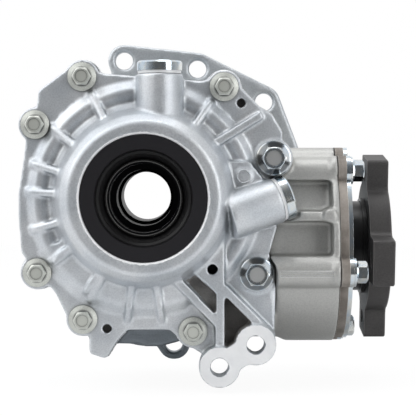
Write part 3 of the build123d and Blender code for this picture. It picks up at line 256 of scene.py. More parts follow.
def milled_aluminium(name, light, dark, metal):
    surface, tree, place = new_surface(name, Metallic=metal)
    rings = {"wave_type": "RINGS", "rings_direction": "Y"}
    arcs = add_node(tree, "ShaderNodeTexWave", rings, Vector=place, Scale=WAVE_LENGTH * per_mm(ARC_MM),
                    Distortion=0.6).outputs["Fac"]
    drift = add_node(tree, "ShaderNodeTexNoise", Vector=place, Scale=per_mm(9), Detail=3).outputs["Fac"]
    stops = ((0.3, linear(dark)), (0.7, linear(light)))
    tone = add_node(tree, "ShaderNodeValToRGB", {"stops": stops}, Fac=drift).outputs["Color"]
    gloss = add_node(tree, "ShaderNodeMapRange", Value=arcs, To_Min=0.5, To_Max=0.58).outputs["Result"]
    cuts = add_node(tree, "ShaderNodeBump", Height=arcs, Distance=0.004 * MM, Strength=1.0)
    coat(tree, tone, gloss, cuts.outputs["Normal"])
    return surface


milled = milled_aluminium("milled_aluminium", "#fbfcfd", "#f2f3f5", 0.3)
# The gearbox face is broad and faces the bright wall, so it gets a painted shade: a tone darker than
# the small faces'.
milled_back = milled_aluminium("milled_gearbox_face", "#bfc2c6", "#adb1b6", 0.6)
print("milled faces:", milled.name, milled_back.name)

# %% [markdown]
# A flange bolt's head is dished on top, and a painted shade darkens the foot of its hexagon, 4 to
# 5 mm above the seat, where the hexagon meets the flange. Both lie at known levels of Y, so a band
# round each level picks them out on the node's own mesh.

# %% Bolt heads
BIG_HEAD = {"dish": -0.1318, "dish_tone": "#c3c4c4", "foot": -0.1247}
SMALL_HEAD = {"dish": -0.1296, "dish_tone": "#d9dbd4", "foot": -0.1239}


def at_level(tree, place, level, near, far, most):
    """most where Y is nearer to level than near, and 0 past far from it"""
    across = add_node(tree, "ShaderNodeSeparateXYZ", Vector=place).outputs["Y"]
    off = add_node(tree, "ShaderNodeMath", {"operation": "SUBTRACT"}, i0=across, i1=level).outputs[0]
    off = add_node(tree, "ShaderNodeMath", {"operation": "ABSOLUTE"}, i0=off).outputs[0]
    return add_node(tree, "ShaderNodeMapRange", Value=off, From_Min=near, From_Max=far,
                    To_Min=most, To_Max=0.0).outputs["Result"]


def bolt_head(tree, place, tone, head):
    dish = at_level(tree, place, head["dish"], 0.1 * MM, 0.3 * MM, 1.0)
    bare = linear(head["dish_tone"])
    tone = add_node(tree, "ShaderNodeMix", BLEND, i0=dish, i6=tone, i7=bare).outputs[2]
    # painted shade: a dark band round the foot of the hexagon
    foot_shade = at_level(tree, place, head["foot"], 0.7 * MM, 1.3 * MM, 0.8)
    tone = add_node(tree, "ShaderNodeMix", BLEND, i0=foot_shade, i6=tone, i7=linear("#3d3f42")).outputs[2]
    return tone, dish


print("dish levels:", BIG_HEAD["dish"], SMALL_HEAD["dish"])

# %% [markdown]
# The two large bolts, both plugs, the retainer's bolts, the seal plate and the flange washer are
# zinc plated and passivated: a thin bright skin with a faint blue and straw tint. It mirrors the
# studio softly, and only the forged dish of a large head is dull. Its grain is drawn at 0.7 mm,
# since the real one is too fine to show.

# %% Zinc plate
FORGED_ROUGH = 0.5


def zinc_plate(name, head=None):
    surface, tree, place = new_surface(name, Metallic=1.0)
    clouds = add_node(tree, "ShaderNodeTexNoise", Vector=place, Scale=per_mm(7),
                      Detail=2).outputs["Fac"]
    stops = ((0.38, linear("#ccd8e2")), (0.68, linear("#e3e4e0")))
    tone = add_node(tree, "ShaderNodeValToRGB", {"stops": stops}, Fac=clouds).outputs["Color"]
    fine = add_node(tree, "ShaderNodeTexNoise", Vector=place, Scale=per_mm(0.7),
                    Detail=2).outputs["Fac"]
    gloss = add_node(tree, "ShaderNodeMapRange", Value=fine, To_Min=0.12, To_Max=0.2).outputs["Result"]
    if head:
        tone, dish = bolt_head(tree, place, tone, head)
        gloss = add_node(tree, "ShaderNodeMix", {"data_type": "FLOAT"}, i0=dish, i2=gloss,
                         i3=FORGED_ROUGH).outputs[0]
    edges = add_node(tree, "ShaderNodeBevel", {"samples": 6}, Radius=0.15 * MM).outputs["Normal"]
    skin = add_node(tree, "ShaderNodeBump", Height=fine, Distance=0.008 * MM, Strength=1.0,
                    Normal=edges)
    # painted shade in the crevices of the head and round it
    coat(tree, painted_corner_shade(tree, tone, 2.0, "#3a3a3e", 0.3, 0.8), gloss, skin.outputs["Normal"])
    return surface


zinc = zinc_plate("zinc_plate_bright")
zinc_big = zinc_plate("zinc_plate_big_bolts", BIG_HEAD)
print("zinc plate:", zinc.name, zinc_big.name)

# %% [markdown]
# The six small cover bolts and the pinion nut have a zinc-flake coating instead. It is dipped and
# baked on like paint: pale, greenish and matte. The flakes are drawn as a grain of 0.8 mm, coarser
# than real ones, so that they show.

# %% Zinc flake
def zinc_flake(name, head=None):
    surface, tree, place = new_surface(name, Metallic=0.8)
    flakes = add_node(tree, "ShaderNodeTexNoise", Vector=place, Scale=per_mm(0.8), Detail=3,
                      Roughness=0.6).outputs["Fac"]
    stops = ((0.3, linear("#c8cac4")), (0.7, linear("#e0e2dc")))
    tone = add_node(tree, "ShaderNodeValToRGB", {"stops": stops}, Fac=flakes).outputs["Color"]
    if head:
        tone = bolt_head(tree, place, tone, head)[0]
    gloss = add_node(tree, "ShaderNodeMapRange", Value=flakes, To_Min=0.42, To_Max=0.56)
    edges = add_node(tree, "ShaderNodeBevel", {"samples": 6}, Radius=0.2 * MM).outputs["Normal"]
    skin = add_node(tree, "ShaderNodeBump", Height=flakes, Distance=0.03 * MM, Strength=1.0,
                    Normal=edges)
    # painted shade in the crevices of the head and round it
    tone = painted_corner_shade(tree, tone, 2.5, "#32322f", 0.35, 0.85)
    coat(tree, tone, gloss.outputs["Result"], skin.outputs["Normal"])
    return surface


flake = zinc_flake("zinc_flake_coat")
flake_small = zinc_flake("zinc_flake_cover_bolts", SMALL_HEAD)
print("zinc flake:", flake.name, flake_small.name)

# %% [markdown]
# Ground steel makes up the bearings, shims and gears. Grinding and hardening leave only a faint
# mottle, drawn at 1.4 mm. The three steels differ in how dark heat and pressing have left them.

# %% Ground steel
def plain_steel(name, light, dark, rough):
    surface, tree, place = new_surface(name, Metallic=1.0)
    marks = add_node(tree, "ShaderNodeTexNoise", Vector=place, Scale=per_mm(1.4), Detail=4,
                     Roughness=0.7).outputs["Fac"]
    stops = ((0.3, linear(dark)), (0.7, linear(light)))
    tone = add_node(tree, "ShaderNodeValToRGB", {"stops": stops}, Fac=marks).outputs["Color"]
    gloss = add_node(tree, "ShaderNodeMapRange", Value=marks, To_Min=rough - 0.06, To_Max=rough + 0.06)
    skin = add_node(tree, "ShaderNodeBump", Height=marks, Distance=0.01 * MM, Strength=1.0)
    coat(tree, tone, gloss.outputs["Result"], skin.outputs["Normal"])
    return surface


bearing_steel = plain_steel("ground_bearing_steel", "#c9cacc", "#b4b5b8", 0.2)
gear_steel = plain_steel("hardened_gear_steel", "#8f8d8a", "#6f6d6b", 0.34)
cage_steel = plain_steel("pressed_cage_steel", "#8d8e92", "#77787c", 0.38)
print("steels:", bearing_steel.name, gear_steel.name, cage_steel.name)

# %% [markdown]
# The hollow shaft is turned, which leaves fine rings round its axis. They are drawn 2.5 mm apart,
# as fine as the picture shows. Within 26 mm of the axis, in the bore, the colour drops to nearly
# black, and only a low angle makes it mirror the white behind.

# %% Turned shaft
BLACK_WITHIN = (0.0258, 0.0262)
TURNING_MM = 2.51


def off_axis(tree, place):
    """the distance from the shaft line: the length of the place with its Y taken out"""
    flat = add_node(tree, "ShaderNodeVectorMath", {"operation": "MULTIPLY"}, i0=place, i1=(1, 0, 1))
    away = add_node(tree, "ShaderNodeVectorMath", {"operation": "LENGTH"}, i0=flat.outputs[0])
    return away.outputs["Value"]


def shaft_steel():
    surface, tree, place = new_surface("turned_shaft_steel", Metallic=1.0)
    outside = add_node(tree, "ShaderNodeMapRange", Value=off_axis(tree, place),
                       From_Min=BLACK_WITHIN[0], From_Max=BLACK_WITHIN[1]).outputs["Result"]
    stops = ((0.1, linear("#1b1b1d")), (0.9, linear("#b9b8b6")))
    tone = add_node(tree, "ShaderNodeValToRGB", {"stops": stops}, Fac=outside).outputs["Color"]
    gloss = add_node(tree, "ShaderNodeMapRange", Value=outside, To_Min=0.42, To_Max=0.25)
    rings = add_node(tree, "ShaderNodeTexWave", {"bands_direction": "Y"}, Vector=place,
                     Scale=WAVE_LENGTH * per_mm(TURNING_MM)).outputs["Fac"]
    cuts = add_node(tree, "ShaderNodeBump", Height=rings, Distance=0.008 * MM, Strength=1.0)
    coat(tree, tone, gloss.outputs["Result"], cuts.outputs["Normal"])
    return surface


shaft_skin = shaft_steel()
print("shaft:", shaft_skin.name)

# %% [markdown]
# The output flange is forged steel with a dark phosphate skin: dry, charcoal and slightly
# speckled, with its edges rubbed to a dusty grey. The crystals are too fine to show, so the speck
# is drawn at 0.9 mm.

# %% Phosphate coat
def phosphate_coat():
    surface, tree, place = new_surface("phosphate_coat_charcoal", Metallic=0.25)
    crystals = add_node(tree, "ShaderNodeTexNoise", Vector=place, Scale=per_mm(0.9), Detail=4,
                        Roughness=0.65).outputs["Fac"]
    stops = ((0.3, linear("#3a3838")), (0.7, linear("#504e4d")))
    base = add_node(tree, "ShaderNodeValToRGB", {"stops": stops}, Fac=crystals).outputs["Color"]
    clouds = add_node(tree, "ShaderNodeTexNoise", Vector=place, Scale=per_mm(16),
                      Detail=2).outputs["Fac"]
    stops = ((0.3, (0.85, 0.85, 0.86, 1)), (0.7, WHITE))
    veil = add_node(tree, "ShaderNodeValToRGB", {"stops": stops}, Fac=clouds).outputs["Color"]
    tone = add_node(tree, "ShaderNodeMix", DARKEN, i0=1.0, i6=base, i7=veil).outputs[2]
    gloss = add_node(tree, "ShaderNodeMapRange", Value=crystals, To_Min=0.42, To_Max=0.58)
    skin = add_node(tree, "ShaderNodeBump", Height=crystals, Distance=0.03 * MM, Strength=1.0)
    tone = rubbed(tree, tone, 0.7, "#8b8886", 0.6)
    coat(tree, tone, gloss.outputs["Result"], skin.outputs["Normal"])
    return surface


phosphate = phosphate_coat()
print("flange:", phosphate.name)

# %% [markdown]
# The seals are moulded nitrile rubber, black with a soft sheen. The dust deflector on the flange's
# hub is painted gloss black, the sealant bead is a cured grey silicone, and the gasket is pressed
# fibre. None shows bare metal, so they share one recipe: two near tones, a fine skin and a gloss.

# %% Rubber, paint, sealant and fibre
def moulded(name, light, dark, rough, grain_mm, depth_mm, gloss=0.5, face=None):
    surface, tree, place = new_surface(name, Metallic=0.0, Specular_IOR_Level=gloss)
    skin = add_node(tree, "ShaderNodeTexNoise", Vector=place, Scale=per_mm(grain_mm),
                    Detail=3).outputs["Fac"]
    stops = ((0.3, linear(dark)), (0.7, linear(light)))
    tone = add_node(tree, "ShaderNodeValToRGB", {"stops": stops}, Fac=skin).outputs["Color"]
    if face:
        outer = add_node(tree, "ShaderNodeMapRange", Value=off_axis(tree, place),
                         From_Min=face["from"] - 0.3 * MM, From_Max=face["from"]).outputs["Result"]
        dusty = linear(face["tone"])
        tone = add_node(tree, "ShaderNodeMix", BLEND, i0=outer, i6=tone, i7=dusty).outputs[2]
    dull = add_node(tree, "ShaderNodeMapRange", Value=skin, To_Min=rough - 0.05, To_Max=rough + 0.07)
    bump = add_node(tree, "ShaderNodeBump", Height=skin, Distance=depth_mm * MM, Strength=1.0)
    coat(tree, tone, dull.outputs["Result"], bump.outputs["Normal"])
    return surface


nitrile = moulded("nitrile_rubber_black", "#151416", "#0d0c0e", 0.42, 1.2, 0.02, 0.22)
# The big seal wears a dusty charcoal face outside its oily lips.
DUSTY_FACE = {"from": 0.0346, "tone": "#222124"}
seal_face = moulded("nitrile_seal_face", "#121113", "#0a0a0b", 0.42, 1.2, 0.02, 0.3, DUSTY_FACE)
gloss_black = moulded("gloss_black_paint", "#0a0a0b", "#050505", 0.3, 3.0, 0.004, 0.4)
silicone = moulded("silicone_sealant_grey", "#3c3d40", "#2c2d30", 0.5, 2.0, 0.05)
fibre = moulded("gasket_fibre_grey", "#5f5b57", "#4b4845", 0.8, 0.9, 0.05)
# The blind hole on the truss gets a painted shade: nearly black, for the shade deep in the hole.
blind_hole_shade = moulded("blind_hole_painted_shade", "#17161a", "#0b0b0c", 0.6, 1.5, 0.03, 0.3)
print("moulded and filled:", nitrile.name, seal_face.name, silicone.name, fibre.name, blind_hole_shade.name)

# %% [markdown]
# Each CAD node keeps its shape and takes the finish of the real piece. One table says which finish
# goes on a node by its name, and a second by the end of its name. A node in neither stops the
# script, so every node has a finish.

# %% Hand out the finishes
FINISHES = {
    "main_case": case_cast, "front_cover": cover_cast, "pinion_retainer": retainer_cast,
    "seal_plate": zinc, "retainer_bolts": zinc, "flange_washer": zinc, "pinion_nut": flake,
    "cover_bolts_large": zinc_big, "cover_bolts_small": flake_small, "ring_gear_bolts": phosphate,
    "filler_plug": zinc, "level_plug": zinc, "filler_washer": milled, "level_washer": milled,
    "cover_oil_seal": seal_face, "rear_oil_seal": nitrile, "pinion_oil_seal": nitrile,
    "spigot_o_ring": nitrile, "cover_sealant": silicone, "retainer_gasket": fibre,
    "input_shaft": shaft_skin, "ring_gear": gear_steel, "drive_pinion": gear_steel,
    "output_flange": phosphate, "dust_deflector": gloss_black, "cover_seal_spring": bearing_steel,
}
ENDINGS = {
    "_cup": bearing_steel, "_cone": bearing_steel, "_rollers": bearing_steel, "_cage": cage_steel,
    "_shim": bearing_steel, "_spacer": bearing_steel, "_pins": phosphate,
}


def finish_of(name):
    return FINISHES.get(name) or next(finish for end, finish in ENDINGS.items() if name.endswith(end))


for name, node in nodes.items():
    node.data.materials.clear()
    node.data.materials.append(finish_of(name))
print("finished nodes:", len(nodes))

# %% [markdown]
# Two small helpers come before the castings are softened. One bakes an object's modifiers into its
# mesh. The other reads all of a mesh's points in one go, as rows of X, Y and Z.

# %% Bake modifiers and read points
def apply_all(work):
    ready = work.evaluated_get(bpy.context.evaluated_depsgraph_get())
    mesh = bpy.data.meshes.new_from_object(ready)
    work.modifiers.clear()
    work.data = mesh


def points_of(mesh):
    spots = np.empty(len(mesh.vertices) * 3, np.float32)
    mesh.vertices.foreach_get("co", spots)
    return spots.reshape(-1, 3)


print("points of the case:", len(points_of(nodes["main_case"].data)))

# %% [markdown]
# CAD corners are knife sharp, but a casting has none: the mould's fillets and the blasting round
# every edge by 1 to 3 mm. A copy of each casting is rebuilt from small cubes (a voxel remesh),
# which gives an even skin, and then relaxed, which rolls every corner over. Milled places must
# stay flat, so one vertex group tells the relaxing where it may work. A second group evens out the
# rim of a milled plane, and moves its points only within that plane. Last, the mesh is thinned.

# %% Soften a casting
def add_group(work, name, chosen):
    group = work.vertex_groups.new(name=name)
    group.add(np.flatnonzero(chosen).tolist(), 1.0, "REPLACE")
    return name


def soften(node, name, voxel_mm, rounds, held, level, extra):
    work = bpy.data.objects.new(name, nodes[node].data.copy())
    bpy.context.scene.collection.objects.link(work)
    shape = bmesh.new()
    shape.from_mesh(work.data)
    extra(shape)
    shape.to_mesh(work.data)
    shape.free()
    remesh = work.modifiers.new("cubes", "REMESH")
    remesh.mode, remesh.voxel_size = "VOXEL", voxel_mm * MM
    apply_all(work)
    spots = points_of(work.data)
    relax = work.modifiers.new("relax", "SMOOTH")
    relax.factor, relax.iterations = 0.5, rounds
    relax.vertex_group = add_group(work, "free", ~held(spots))
    even = work.modifiers.new("even_rim", "SMOOTH")
    even.factor, even.iterations, even.use_y = 0.5, 3, False
    even.vertex_group = add_group(work, "level", level(spots))
    thin = work.modifiers.new("thin_out", "DECIMATE")
    thin.ratio = 0.5
    apply_all(work)
    work.data.polygons.foreach_set("use_smooth", [True] * len(work.data.polygons))
    print(name, len(work.data.polygons), "faces")
    return work


# %% [markdown]
# A softened casting then gets its finishes, face by face: a rule looks at each face's middle and
# normal and picks one from a list. The list's second finish is a milled one, and where it looks
# straight ahead or back it is shaded flat, so that its rims stay crisp. The new piece rides on the
# housing and stands for its CAD node, which is hidden.

# %% Dress a casting
MILLED_INDEX = 1
FLAT_ENOUGH = 0.95


def dress(piece, node, body, surfaces, choose):
    piece.data.materials.clear()
    for surface in surfaces:
        piece.data.materials.append(surface)
    faces = piece.data.polygons
    centres = np.empty(len(faces) * 3, np.float32)
    normals = np.empty(len(faces) * 3, np.float32)
    faces.foreach_get("center", centres)
    faces.foreach_get("normal", normals)
    centres, normals = centres.reshape(-1, 3), normals.reshape(-1, 3)
    chosen = choose(centres, normals).astype(int)
    faces.foreach_set("material_index", chosen)
    faces.foreach_set("use_smooth", ~((chosen == MILLED_INDEX) & (np.abs(normals[:, 1]) > FLAT_ENOUGH)))
    piece.data.update()
    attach(piece, body)
    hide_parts(node)
    print(piece.name, "faces by finish:", np.bincount(chosen).tolist())


# %% [markdown]
# On the cover the milled places are the lug face, the joint face at the back and the bores. They
# are picked by where they lie, in millimetres: how far ahead of the gearbox face, and how near to
# the shaft line. The strip beside the barrel is held too, so that the two castings don't part. A
# limit that is a milled plane or bore is eased by a few tenths of a millimetre, because a remeshed
# point lies near it and not quite on it.

# %% Where the cover is milled
JOINT_AHEAD = 108
FLANGE_AHEAD = 120
TRUSS_AHEAD = 130
LUG_AHEAD = 132
LUG_TOP_Z = -85
SEAL_SEAT_AHEAD = 137
COVER_BORE_R = 47
COVER_EDGE_X = 89.5
BARREL_TOP_Z = -36


def measures(spots):
    """X, Z, how far ahead of the gearbox face and how far from the shaft line, in mm"""
    x, y, z = spots.T / MM
    return x, z, -y, np.hypot(x, z)


def cover_level(spots):
    _, z, ahead, _ = measures(spots)
    return (ahead > LUG_AHEAD - 0.4) & (z < LUG_TOP_Z)


def cover_held(spots):
    x, z, ahead, reach = measures(spots)
    joint = ahead < JOINT_AHEAD + 0.6
    bore = reach < COVER_BORE_R + 0.2
    beside_barrel = (x > COVER_EDGE_X) & (z < BARREL_TOP_Z) & (ahead < FLANGE_AHEAD + 0.4)
    return joint | bore | cover_level(spots) | beside_barrel


print("the lug face lies", LUG_AHEAD, "mm ahead, the cover's joint", JOINT_AHEAD)

# %% [markdown]
# The truss arm low on the cover has two cored pockets, painted darker as shade, and a small blind
# hole, painted black as shade. Each pocket is an outline in X and Z, in mm. A point lies inside an
# outline if an odd number of its sides pass to the point's right.

# %% Pockets and faces of the cover
NEAR_POCKET = ((31.5, -60.2), (37, -56.8), (51, -69.2), (51, -82))
FAR_POCKET = ((57.8, -71.2), (76, -89.6), (67.2, -96), (63.5, -104.7), (57.8, -106.4))
POCKET_GROW = 1.14
BLIND_HOLE = (48.7, -51.2)
BLIND_R = 4.1


def within(spots, outline):
    """which points lie in an outline, taken a little larger than drawn to take in its walls"""
    middle = np.mean(outline, axis=0)
    x, z = ((spots[:, [0, 2]] / MM - middle) / POCKET_GROW + middle).T
    odd = np.zeros(len(spots), bool)
    for (start_x, start_z), (end_x, end_z) in zip(outline, outline[1:] + outline[:1]):
        crosses = (start_z > z) != (end_z > z)
        odd ^= crosses & (x < (end_x - start_x) * (z - start_z) / (end_z - start_z) + start_x)
    return odd


def cover_faces(spots, normals):
    x, z, ahead, reach = measures(spots)
    lug_face = (ahead > LUG_AHEAD - 0.6) & (z < LUG_TOP_Z) & (normals[:, 1] < -0.7)
    bore = (reach < COVER_BORE_R - 0.2) & (ahead > SEAL_SEAT_AHEAD)
    cut = lug_face | bore | (ahead < JOINT_AHEAD + 0.4)
    pocket = within(spots, NEAR_POCKET) | within(spots, FAR_POCKET)
    pocket &= (ahead > JOINT_AHEAD + 1) & (ahead < TRUSS_AHEAD - 1)
    blind = np.hypot(x - BLIND_HOLE[0], z - BLIND_HOLE[1]) < BLIND_R
    blind &= (ahead > FLANGE_AHEAD - 1) & (ahead < TRUSS_AHEAD - 0.7)
    # faces in the pockets take the painted pocket shade, and the blind hole the painted black shade
    return np.select([blind, pocket, cut], [3, 2, 1], 0)


print("pocket outlines:", len(NEAR_POCKET), "and", len(FAR_POCKET), "corners")

# %% [markdown]
# Some cast forms are added to the mesh: the long slope low on the dome with its ribs, and later a
# ring, a lip and two fins. Each is a loft: outlines with the same number of corners, joined one to
# the next into a closed skin, so that no open sheet is left in the mesh.

# %% Lofts
def loft(shape, rings, closed=False):
    rows = [[shape.verts.new(spot) for spot in ring] for ring in rings]
    count = len(rows[0])
    for near, far in zip(rows, rows[1:] + (rows[:1] if closed else [])):
        for corner in range(count):
            after = (corner + 1) % count
            side = shape.faces.new((near[corner], near[after], far[after], far[corner]))
            side.smooth = True
    if not closed:
        shape.faces.new(rows[0][::-1])
        shape.faces.new(rows[-1])


def turned(outline, degrees, shift=0.0):
    """an outline of (radius, ahead) in mm, turned round the shaft line and shifted to one side"""
    turn = math.radians(degrees)
    right, up = math.cos(turn), math.sin(turn)
    spots = [(r * right - shift * up, -ahead, r * up + shift * right) for r, ahead in outline]
    return [Vector(spot) * MM for spot in spots]


print("a point straight below the shaft line:", turned([(10, 0)], 270)[0][:])

# %% [markdown]
# Low on the dome the casting runs out smoothly from the hub as a shelf, with two long ribs on it
# and two shorter ones to their left. The shelf is one outline swept in steps of 2 degrees. A rib is
# an outline of the same kind, drawn twice, once for each of its flanks.

# %% The low dome
SHELF = ((58, 119), (58, 129), (66, 127.2), (76, 126), (80, 124.6), (83.5, 122), (88, 119))
SHELF_TURNS = range(207, 292, 2)
LONG_RIB = ((52, 119), (52, 139), (58, 133), (66, 130), (80, 128), (87, 124.5), (91, 121.5),
            (92.5, 119))
LONG_RIB_TURNS = (262, 278)
LONG_RIB_SIDES = (-2.3, 2.3)
SHORT_RIB = LONG_RIB[:5] + ((83.5, 119),)
SHORT_RIB_TURNS = (238, 216)
SHORT_RIB_SIDES = (-1.7, 1.7)


def low_dome(shape):
    loft(shape, [turned(SHELF, turn) for turn in SHELF_TURNS])
    for turn in LONG_RIB_TURNS:
        loft(shape, [turned(LONG_RIB, turn, side) for side in LONG_RIB_SIDES])
    for turn in SHORT_RIB_TURNS:
        loft(shape, [turned(SHORT_RIB, turn, side) for side in SHORT_RIB_SIDES])


print("ribs on the low dome:", len(LONG_RIB_TURNS) + len(SHORT_RIB_TURNS))

# %% [markdown]
# A small round pad on the right of the cover carries a cast ring, 9 mm across and 0.6 mm high. It
# is a loft that closes on itself, half sunk in the pad, and PAD gives the X and Z of its middle.
# The cover is softened, gets its ring and is then dressed.

# %% The cover
PAD = (0.071, 0.0153)
RING_R = 0.0046
RING_HIGH = 0.0006


def add_ring(piece, around=40, sides=8):
    x, z = PAD
    shape = bmesh.new()
    shape.from_mesh(piece.data)
    face = min(spot.co.y for spot in shape.verts if math.hypot(spot.co.x - x, spot.co.z - z) < RING_R)
    rings = []
    for turn in np.linspace(0, 2 * math.pi, around, endpoint=False):
        right, up = math.cos(turn), math.sin(turn)
        section = []
        for roll in np.linspace(0, 2 * math.pi, sides, endpoint=False):
            r, y = RING_R + RING_HIGH * math.cos(roll), face - RING_HIGH * math.sin(roll)
            section.append((x + r * right, y, z + r * up))
        rings.append(section)
    loft(shape, rings, closed=True)
    shape.to_mesh(piece.data)
    shape.free()
    print("ring on the pad, at Y =", round(face, 4))


cover = soften("front_cover", "cover_casting", 1.0, 10, cover_held, cover_level, low_dome)
add_ring(cover)
cover_finishes = [cover_cast, milled, pocket_shade_cast, blind_hole_shade]
dress(cover, "front_cover", "housing", cover_finishes, cover_faces)

# %% [markdown]
# The case gets the same treatment with a coarser cube, since it is larger and mostly behind the
# cover. Its gearbox face, its joint with the cover, its bores and the barrel's far end stay as
# milled. The barrel's near end, beside the cover's edge, is held too and keeps its corner. The
# barrel's line lies 52 mm ahead of the gearbox face and 38 mm below the shaft line.

# %% Where the case is milled
BARREL_AHEAD = 52
BARREL_BELOW = 38
BARREL_BORE_X = 70
BARREL_END_X = 141
CASE_BORE_R = 46
SPIGOT_R = 50
OFF_DRUM_X = 85
CORNER_X = (88, 102.5)
CORNER_AHEAD = 92
END_FACE_X = 100
END_FACE_AHEAD = 100


def case_parts(spots):
    """in mm: X, how far ahead, how far from the shaft line, and whether in the barrel's bore"""
    x, z, ahead, reach = measures(spots)
    bore = (np.hypot(ahead - BARREL_AHEAD, z + BARREL_BELOW) < CASE_BORE_R) & (x > BARREL_BORE_X)
    return x, ahead, reach, bore


def case_held(spots):
    x, ahead, reach, bore = case_parts(spots)
    joint = (ahead > JOINT_AHEAD - 1.6) & (ahead < JOINT_AHEAD) & (x < OFF_DRUM_X)
    corner = (ahead > CORNER_AHEAD) & (x > CORNER_X[0]) & (x < CORNER_X[1])
    return (ahead < 0.6) | joint | corner | (reach < CASE_BORE_R) | bore | (x > BARREL_END_X - 0.6)


def case_level(spots):
    _, _, ahead, reach = measures(spots)
    return (ahead < 0.6) & (reach > SPIGOT_R)


def case_faces(spots, normals):
    x, ahead, reach, bore = case_parts(spots)
    joint = (ahead > JOINT_AHEAD - 1.6) & (ahead < JOINT_AHEAD - 0.4) & (x < OFF_DRUM_X)
    cut = (joint & (normals[:, 1] < -0.7)) | (reach < CASE_BORE_R) | bore
    end = (x > CORNER_X[0]) & (x < END_FACE_X) & (ahead > END_FACE_AHEAD) & (normals[:, 0] < -0.6)
    return np.select([ahead < 0.5, cut, end], [2, 1, 3], 0)


print("the barrel's line is", BARREL_AHEAD, "mm ahead and", BARREL_BELOW, "mm down")

# %% [markdown]
# The barrel all but touches the cover's edge. A lip, 4 mm wide, follows the barrel's round there
# and narrows the slit between the two castings.

# %% The barrel's lip
LIP_SECTION = ((94.5, 64), (94.5, 71.8), (98.5, 71.8), (98.5, 64))
LIP_TURNS = range(4, 41, 4)


def barrel_lip(shape):
    rings = []
    for degrees in LIP_TURNS:
        ahead, down = math.cos(math.radians(degrees)), math.sin(math.radians(degrees))
        rings.append([Vector((x, -BARREL_AHEAD - r * ahead, -BARREL_BELOW - r * down)) * MM
                      for x, r in LIP_SECTION])
    loft(shape, rings)


print("lip round the barrel:", LIP_TURNS[-1] - LIP_TURNS[0], "degrees")

# %% [markdown]
# The mould's two halves meet along the barrel's lower boss and leave twin fins, 0.7 mm high. Rays
# sent at the casting from the front find its surface, and each fin is a thin round rod half sunk
# in it. The case is softened, gets its fins and is then dressed.

# %% The case
FIN_HEIGHTS = (-0.0530, -0.0561)
FIN_R = 0.0007
FIN_RUN = np.arange(0.0975, 0.1355, 0.0015)


def add_fins(piece, sides=8):
    faces = [face.vertices for face in piece.data.polygons]
    skin = BVHTree.FromPolygons([spot.co for spot in piece.data.vertices], faces)
    shape = bmesh.new()
    shape.from_mesh(piece.data)
    turns = np.linspace(0, 2 * math.pi, sides, endpoint=False)
    section = [FIN_R * Vector((0, math.cos(turn), math.sin(turn))) for turn in turns]
    for z in FIN_HEIGHTS:
        hits = [skin.ray_cast(Vector((x, -0.3, z)), Vector((0, 1, 0)))[0] for x in FIN_RUN]
        loft(shape, [[hit + step for step in section] for hit in hits])
    shape.to_mesh(piece.data)
    shape.free()
    print("fins on the barrel:", len(FIN_HEIGHTS))


case = soften("main_case", "case_casting", 1.3, 7, case_held, case_level, barrel_lip)
add_fins(case)
case_finishes = [case_cast, milled, milled_back, end_cast]
dress(case, "main_case", "housing", case_finishes, case_faces)

# %% [markdown]
# The picture's ground is pure white. A floor catches a faint shadow: camera rays see mostly white
# light from it, other rays see a plain pale floor. It lies just under the lugs.

# %% Floor
FLOOR_SIZE = 2.4
FLOOR_BACK = 0.75
FLOOR_GAP = 0.004
WHITE_SHARE = 0.9


def white_floor():
    place = (0, FLOOR_BACK, cad_low.z - FLOOR_GAP)
    bpy.ops.mesh.primitive_plane_add(size=FLOOR_SIZE, location=place)
    floor = bpy.context.object
    floor.name = "studio_floor"
    surface = bpy.data.materials.new("pale_floor")
    surface.use_nodes = True
    tree = surface.node_tree
    tree.nodes.clear()
    lit = add_node(tree, "ShaderNodeBsdfDiffuse", Color=(0.8, 0.8, 0.8, 1)).outputs[0]
    white = add_node(tree, "ShaderNodeEmission", Color=WHITE, Strength=1.04).outputs[0]
    seen = add_node(tree, "ShaderNodeLightPath").outputs["Is Camera Ray"]
    share = add_node(tree, "ShaderNodeMath", {"operation": "MULTIPLY"}, i0=seen, i1=WHITE_SHARE)
    mixed = add_node(tree, "ShaderNodeMixShader", i0=share.outputs[0], i1=lit, i2=white).outputs[0]
    add_node(tree, "ShaderNodeOutputMaterial", Surface=mixed)
    floor.data.materials.append(surface)
    print("floor at Z =", round(place[2], 4))


white_floor()

# %% [markdown]
# The studio is a dim room with large soft lamps, which gives plated bolts their dark and light
# bands, while matte castings only feel the average. As light, the wall behind the camera is dim,
# the sides and back are bright, and the right half and low side are shaded. As a picture, the room
# is plain white: camera rays see white, and so do mirror rays that go to the back.

# %% Room
DIM_WALL = 0.14
BRIGHT_WALL = 0.98
RIGHT_SHADE = 0.6
LOW_SHADE = 0.5
COOL_WHITE = (0.97, 0.985, 1.0, 1)


def room_light(tree, way):
    """the wall's strength in the direction of a ray, from dim behind the camera to bright"""
    wall = add_node(tree, "ShaderNodeMapRange", SMOOTH, Value=way.outputs["Y"],
                    From_Min=-0.95, From_Max=0.15, To_Min=DIM_WALL, To_Max=BRIGHT_WALL).outputs["Result"]
    right = add_node(tree, "ShaderNodeMapRange", SMOOTH, Value=way.outputs["X"],
                     From_Min=-0.1, From_Max=0.9, To_Min=1.0, To_Max=RIGHT_SHADE).outputs["Result"]
    low = add_node(tree, "ShaderNodeMapRange", SMOOTH, Value=way.outputs["Z"],
                   From_Min=-0.6, From_Max=0.3, To_Min=LOW_SHADE, To_Max=1.0).outputs["Result"]
    shade = add_node(tree, "ShaderNodeMath", {"operation": "MULTIPLY"}, i0=right, i1=low).outputs[0]
    return add_node(tree, "ShaderNodeMath", {"operation": "MULTIPLY"}, i0=wall, i1=shade).outputs[0]


